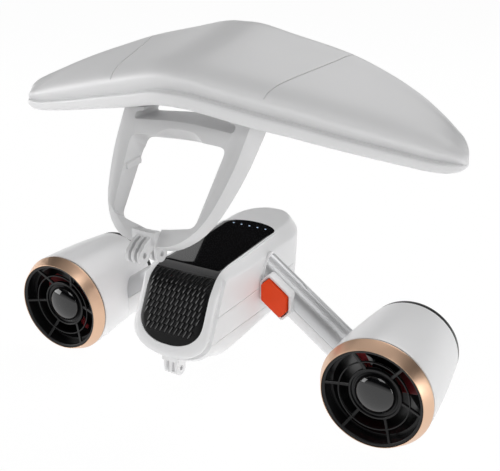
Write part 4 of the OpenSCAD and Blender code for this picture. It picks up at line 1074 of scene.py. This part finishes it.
# by the distance from the middle
hullTables = {
    "crown": [(0, 309.2), (8, 309.2), (15, 308.7), (22, 307.6), (30, 305.8), (45, 302), (60, 298.3),
              (80, 293.6), (100, 288.7), (120, 282.8), (140, 275.9), (160, 268.9), (180, 261.1), (195, 254.5),
              (205, 249.6), (215, 244.6), (222, 240.9)],
    "edge": [(0, 255.2), (15, 254.3), (30, 251.4), (60, 244.1), (80, 239.5), (100, 235.3), (120, 230.6),
             (140, 225.9), (160, 221.6), (180, 217.4), (195, 214.4), (205, 212.4), (215, 211.2),
             (222, 210.9)],
    "crest": [(0, 88), (45, 92), (90, 98), (135, 96.2), (175, 85.2), (205, 70.3), (222, 58)],
    "seam": [(0, 19.5), (60, 19), (120, 17), (180, 14.4), (205, 13), (222, 11.7)],
    "roll": [(0, 36.8), (80, 36), (165, 32.5), (205, 27), (222, 21)],
    "run": [(0, 19), (165, 16.5), (205, 12.5), (222, 9)],
    "step": [(0, 1.0), (165, 0.9), (205, 0.75), (222, 0.6)],
    "tipY": [(222, 52.5), (228, 50), (232, 48), (237.1, 46)],
    "tipZ": [(222, 217.6), (228, 217.4), (232, 217.2), (236, 217.0), (237.1, 217.0)],
}


def smoothLine(points, steps=4):
    # a cubic spline line that starts and ends on the first and last points
    pts = [Vector(p) for p in [points[0]] * 2 + points + [points[-1]] * 2]
    out = []
    for p, q, r, w in zip(pts, pts[1:], pts[2:], pts[3:]):
        for t in (n / steps for n in range(steps)):
            out.append((p * (1 - t) ** 3 + q * (3 * t**3 - 6 * t**2 + 4)
                        + r * (-3 * t**3 + 3 * t**2 + 3 * t + 1) + w * t**3) / 6)
    return out + [pts[-1]]


def hullLines(x):
    s = hullSet
    run = (math.hypot(x, s["soft"]) - s["soft"]) / (math.hypot(s["span"], s["soft"]) - s["soft"])
    lines = {name: along(table, x) for name, table in hullTables.items()}
    lines["lead"] = s["leadY"] + s["leadRun"] * run**1.05
    lines["trail"] = s["trailY"] - s["trailRun"] * run**2.6
    return lines


def upperOutline(h):
    # control points from the seam at the front, up the roll, over the deck and down to the rear, each (y, z)
    lead, edge, trail, crown, crest = (h[name] for name in ("lead", "edge", "trail", "crown", "crest"))
    c, k, half = h["step"], h["seam"] / hullSet["seamTall"], hullSet["seamGap"] / 2
    start = Vector((lead + 1.25 * h["run"] + 5 * c, edge + h["roll"] + 0.6 + 0.05 * h["run"]))
    stop = Vector((crest, crown))
    deck = [start.lerp(stop, f) for f in (0.2, 0.4, 0.6, 0.8)]
    slope = min(hullSet["deckSlope"], (stop.y - start.y) / (stop.x - start.x))
    foot = Vector((lead + 3 * c, edge + h["seam"] + (h["roll"] - h["seam"]) * 0.2))
    reach = start - foot
    lift = reach.y - slope * reach.x
    roll = [foot + Vector((reach.x * f, slope * reach.x * f + lift * g))
            for f, g in ((0, 0), (0.08, 0.383), (0.293, 0.707), (0.617, 0.924))]  # a quarter of an oval
    rise, back = crown - edge, trail - crest
    lip = [(lead + a * c, edge + b * k) for a, b in hullSet["lip"]]
    return [(lead + 6 * c, edge + 11.2 * k + half), *lip, *roll, start, *deck,
            (crest - back * 0.1, crown + 0.5), (crest + back * 0.2, crown + 0.2),
            (crest + back * 0.55, crown - rise * 0.12), (trail - back * 0.12, crown - rise * 0.33),
            (trail, edge + rise * 0.42), (trail, edge + 12 * k + half)]


def lowerOutline(h):
    # control points from the seam at the front, under the hull to the seam at the rear, each (y, z)
    lead, edge, trail = h["lead"], h["edge"], h["trail"]
    c, k, half = h["step"], h["seam"] / hullSet["seamTall"], hullSet["seamGap"] / 2
    chin = [(lead + a * c, edge + b * k) for a, b in hullSet["chin"]]
    flat = [(mix(lead, trail, f), edge + 0.4) for f in (0.35, 0.65)]
    return [(lead + 6 * c, edge + 11.2 * k - half), *chin, *flat, (trail - 12 * c, edge),
            (trail - 3 * c, edge + 0.4 * k), (trail, edge + 3 * k), (trail, edge + 12 * k - half)]


def hullSection(x, which):
    # past tipFrom the last section is drawn in towards the tip
    s = hullSet
    base = min(x, s["tipFrom"])
    points = smoothLine((upperOutline, lowerOutline)[which](hullLines(base)))
    if x > base:
        heart, moved = (Vector([along(hullTables[name], p) for name in ("tipY", "tipZ")]) for p in (base, x))
        size = math.sqrt(max(0, s["half"][which] - x) / (s["half"][which] - base))
        tall = size ** s["tipPower"][which]
        points = [moved + Vector(((p.x - heart.x) * size, (p.y - heart.y) * tall)) for p in points]
    return points


def hullStations(half):
    # close together at the cover plate's groove and at the tip
    tip = hullSet["tipFrom"]
    xs = [0, 4, 8, 12, 16, 20, 25, 30, 36, 42, 49, 56, 64, 72, 80, 88, 92.4, 93.7, 94.0, 94.05, 94.95, 95.0,
          95.3, 96.6, 102, 110, 118, 126, 134, 142, 150, 158, 166, 174, 181, 188, 194, 200, 205, 210, 214,
          218, tip]
    xs += [mix(tip, half, f) for f in (0.2, 0.375, 0.53, 0.66, 0.77, 0.85, 0.91, 0.955, 0.982, 0.995, 1)]
    return [-x for x in reversed(xs[1:])] + xs


def makeHullPart(name, which):
    s = hullSet
    xs = hullStations(s["half"][which])
    lines = {x: hullSection(x, which) for x in xs if x >= 0}
    rows = len(lines[0]) - 1

    def where(i, j):
        x, side = abs(xs[i]), 1 if xs[i] >= 0 else -1
        y, z = lines[x][j]
        if which == 0:
            # stations near the groove lean with it
            away = x - s["grooveMid"]
            share = (y - s["grooveY"][0]) / (s["grooveY"][1] - s["grooveY"][0])
            x += (mix(*s["grooveX"], share) - s["grooveMid"]) * math.exp(-(away / s["grooveSpread"]) ** 2)
            y, z = hullSection(x, which)[j]
            if abs(away) < s["grooveHalf"] and s["grooveRows"][0] < j < rows - s["grooveRows"][1]:
                z -= s["grooveDepth"]
        return spot(side * x, y, z)

    piece = drapeGrid(name, len(xs) - 1, rows, where)
    useModifier(piece, "SOLIDIFY", thickness=s["wall"] / 1000, offset=-1)
    return piece


def buildHull():
    for which, side in enumerate(("upper", "lower")):
        shell = makeHullPart("hull-" + side + "-shell", which)
        deliver(shell, "float_white", "float_unit", "hull_" + side + "_shell", angle=40)


bracketSet = {
    "faceY": -29, "faceZ": 216, "faceTilt": 35.5, "reliefSlope": 20, "reliefRun": (-9, 70),
    "relief": [(49.85, 222, 7), (44, 190, 1), (-44, 190, 1), (-49.85, 222, 7), (0, 224.3, 20)],
    "blockTop": 154.8, "blockNormal": (0, 0.39, 0.92),
}


def facePoint(x, z, depth=0, slope=0):
    # a place on the bracket's slanting face, then some way to the rear at a slope down
    b, a = bracketSet, math.radians(slope)
    faceY = b["faceY"] + (z - b["faceZ"]) * math.tan(math.radians(b["faceTilt"]))
    return spot(x, faceY + depth * math.cos(a), z - depth * math.sin(a))


def buildBracket():
    b = bracketSet
    loop = cadCopy("bracket_loop", "bracket-loop", 0.6)
    line = profileOf(b["relief"])
    cutAway(loop, sweepBar("relief", [[facePoint(x, z, depth, b["reliefSlope"]) for x, z in line]
                                      for depth in b["reliefRun"]]))
    deliver(loop, "bracket_grey", "float_unit", "bracket_loop")
    block = cadCopy("bracket_block", "bracket-block", 0.5)
    inEdit(block, lambda: bpy.ops.mesh.bisect(plane_co=facePoint(0, b["blockTop"]), plane_no=b["blockNormal"],
                                              use_fill=True, clear_outer=True))
    deliver(block, "bracket_grey", "float_unit", "bracket_block")


def buildCameraMount():
    deliver(cadCopy("camera_mount", "camera-mount", 0.5), "white_shell", "scooter", "camera_mount")


buildHull()
buildBracket()
buildCameraMount()
print("float and camera mount built")

for row in frame["record"]["subparts"]:
    solid = frame["nodes"][row["node"]]
    solid.data.materials.clear()
    solid.data.materials.append(finishes[row["material_slot"]])
print("solids dressed")
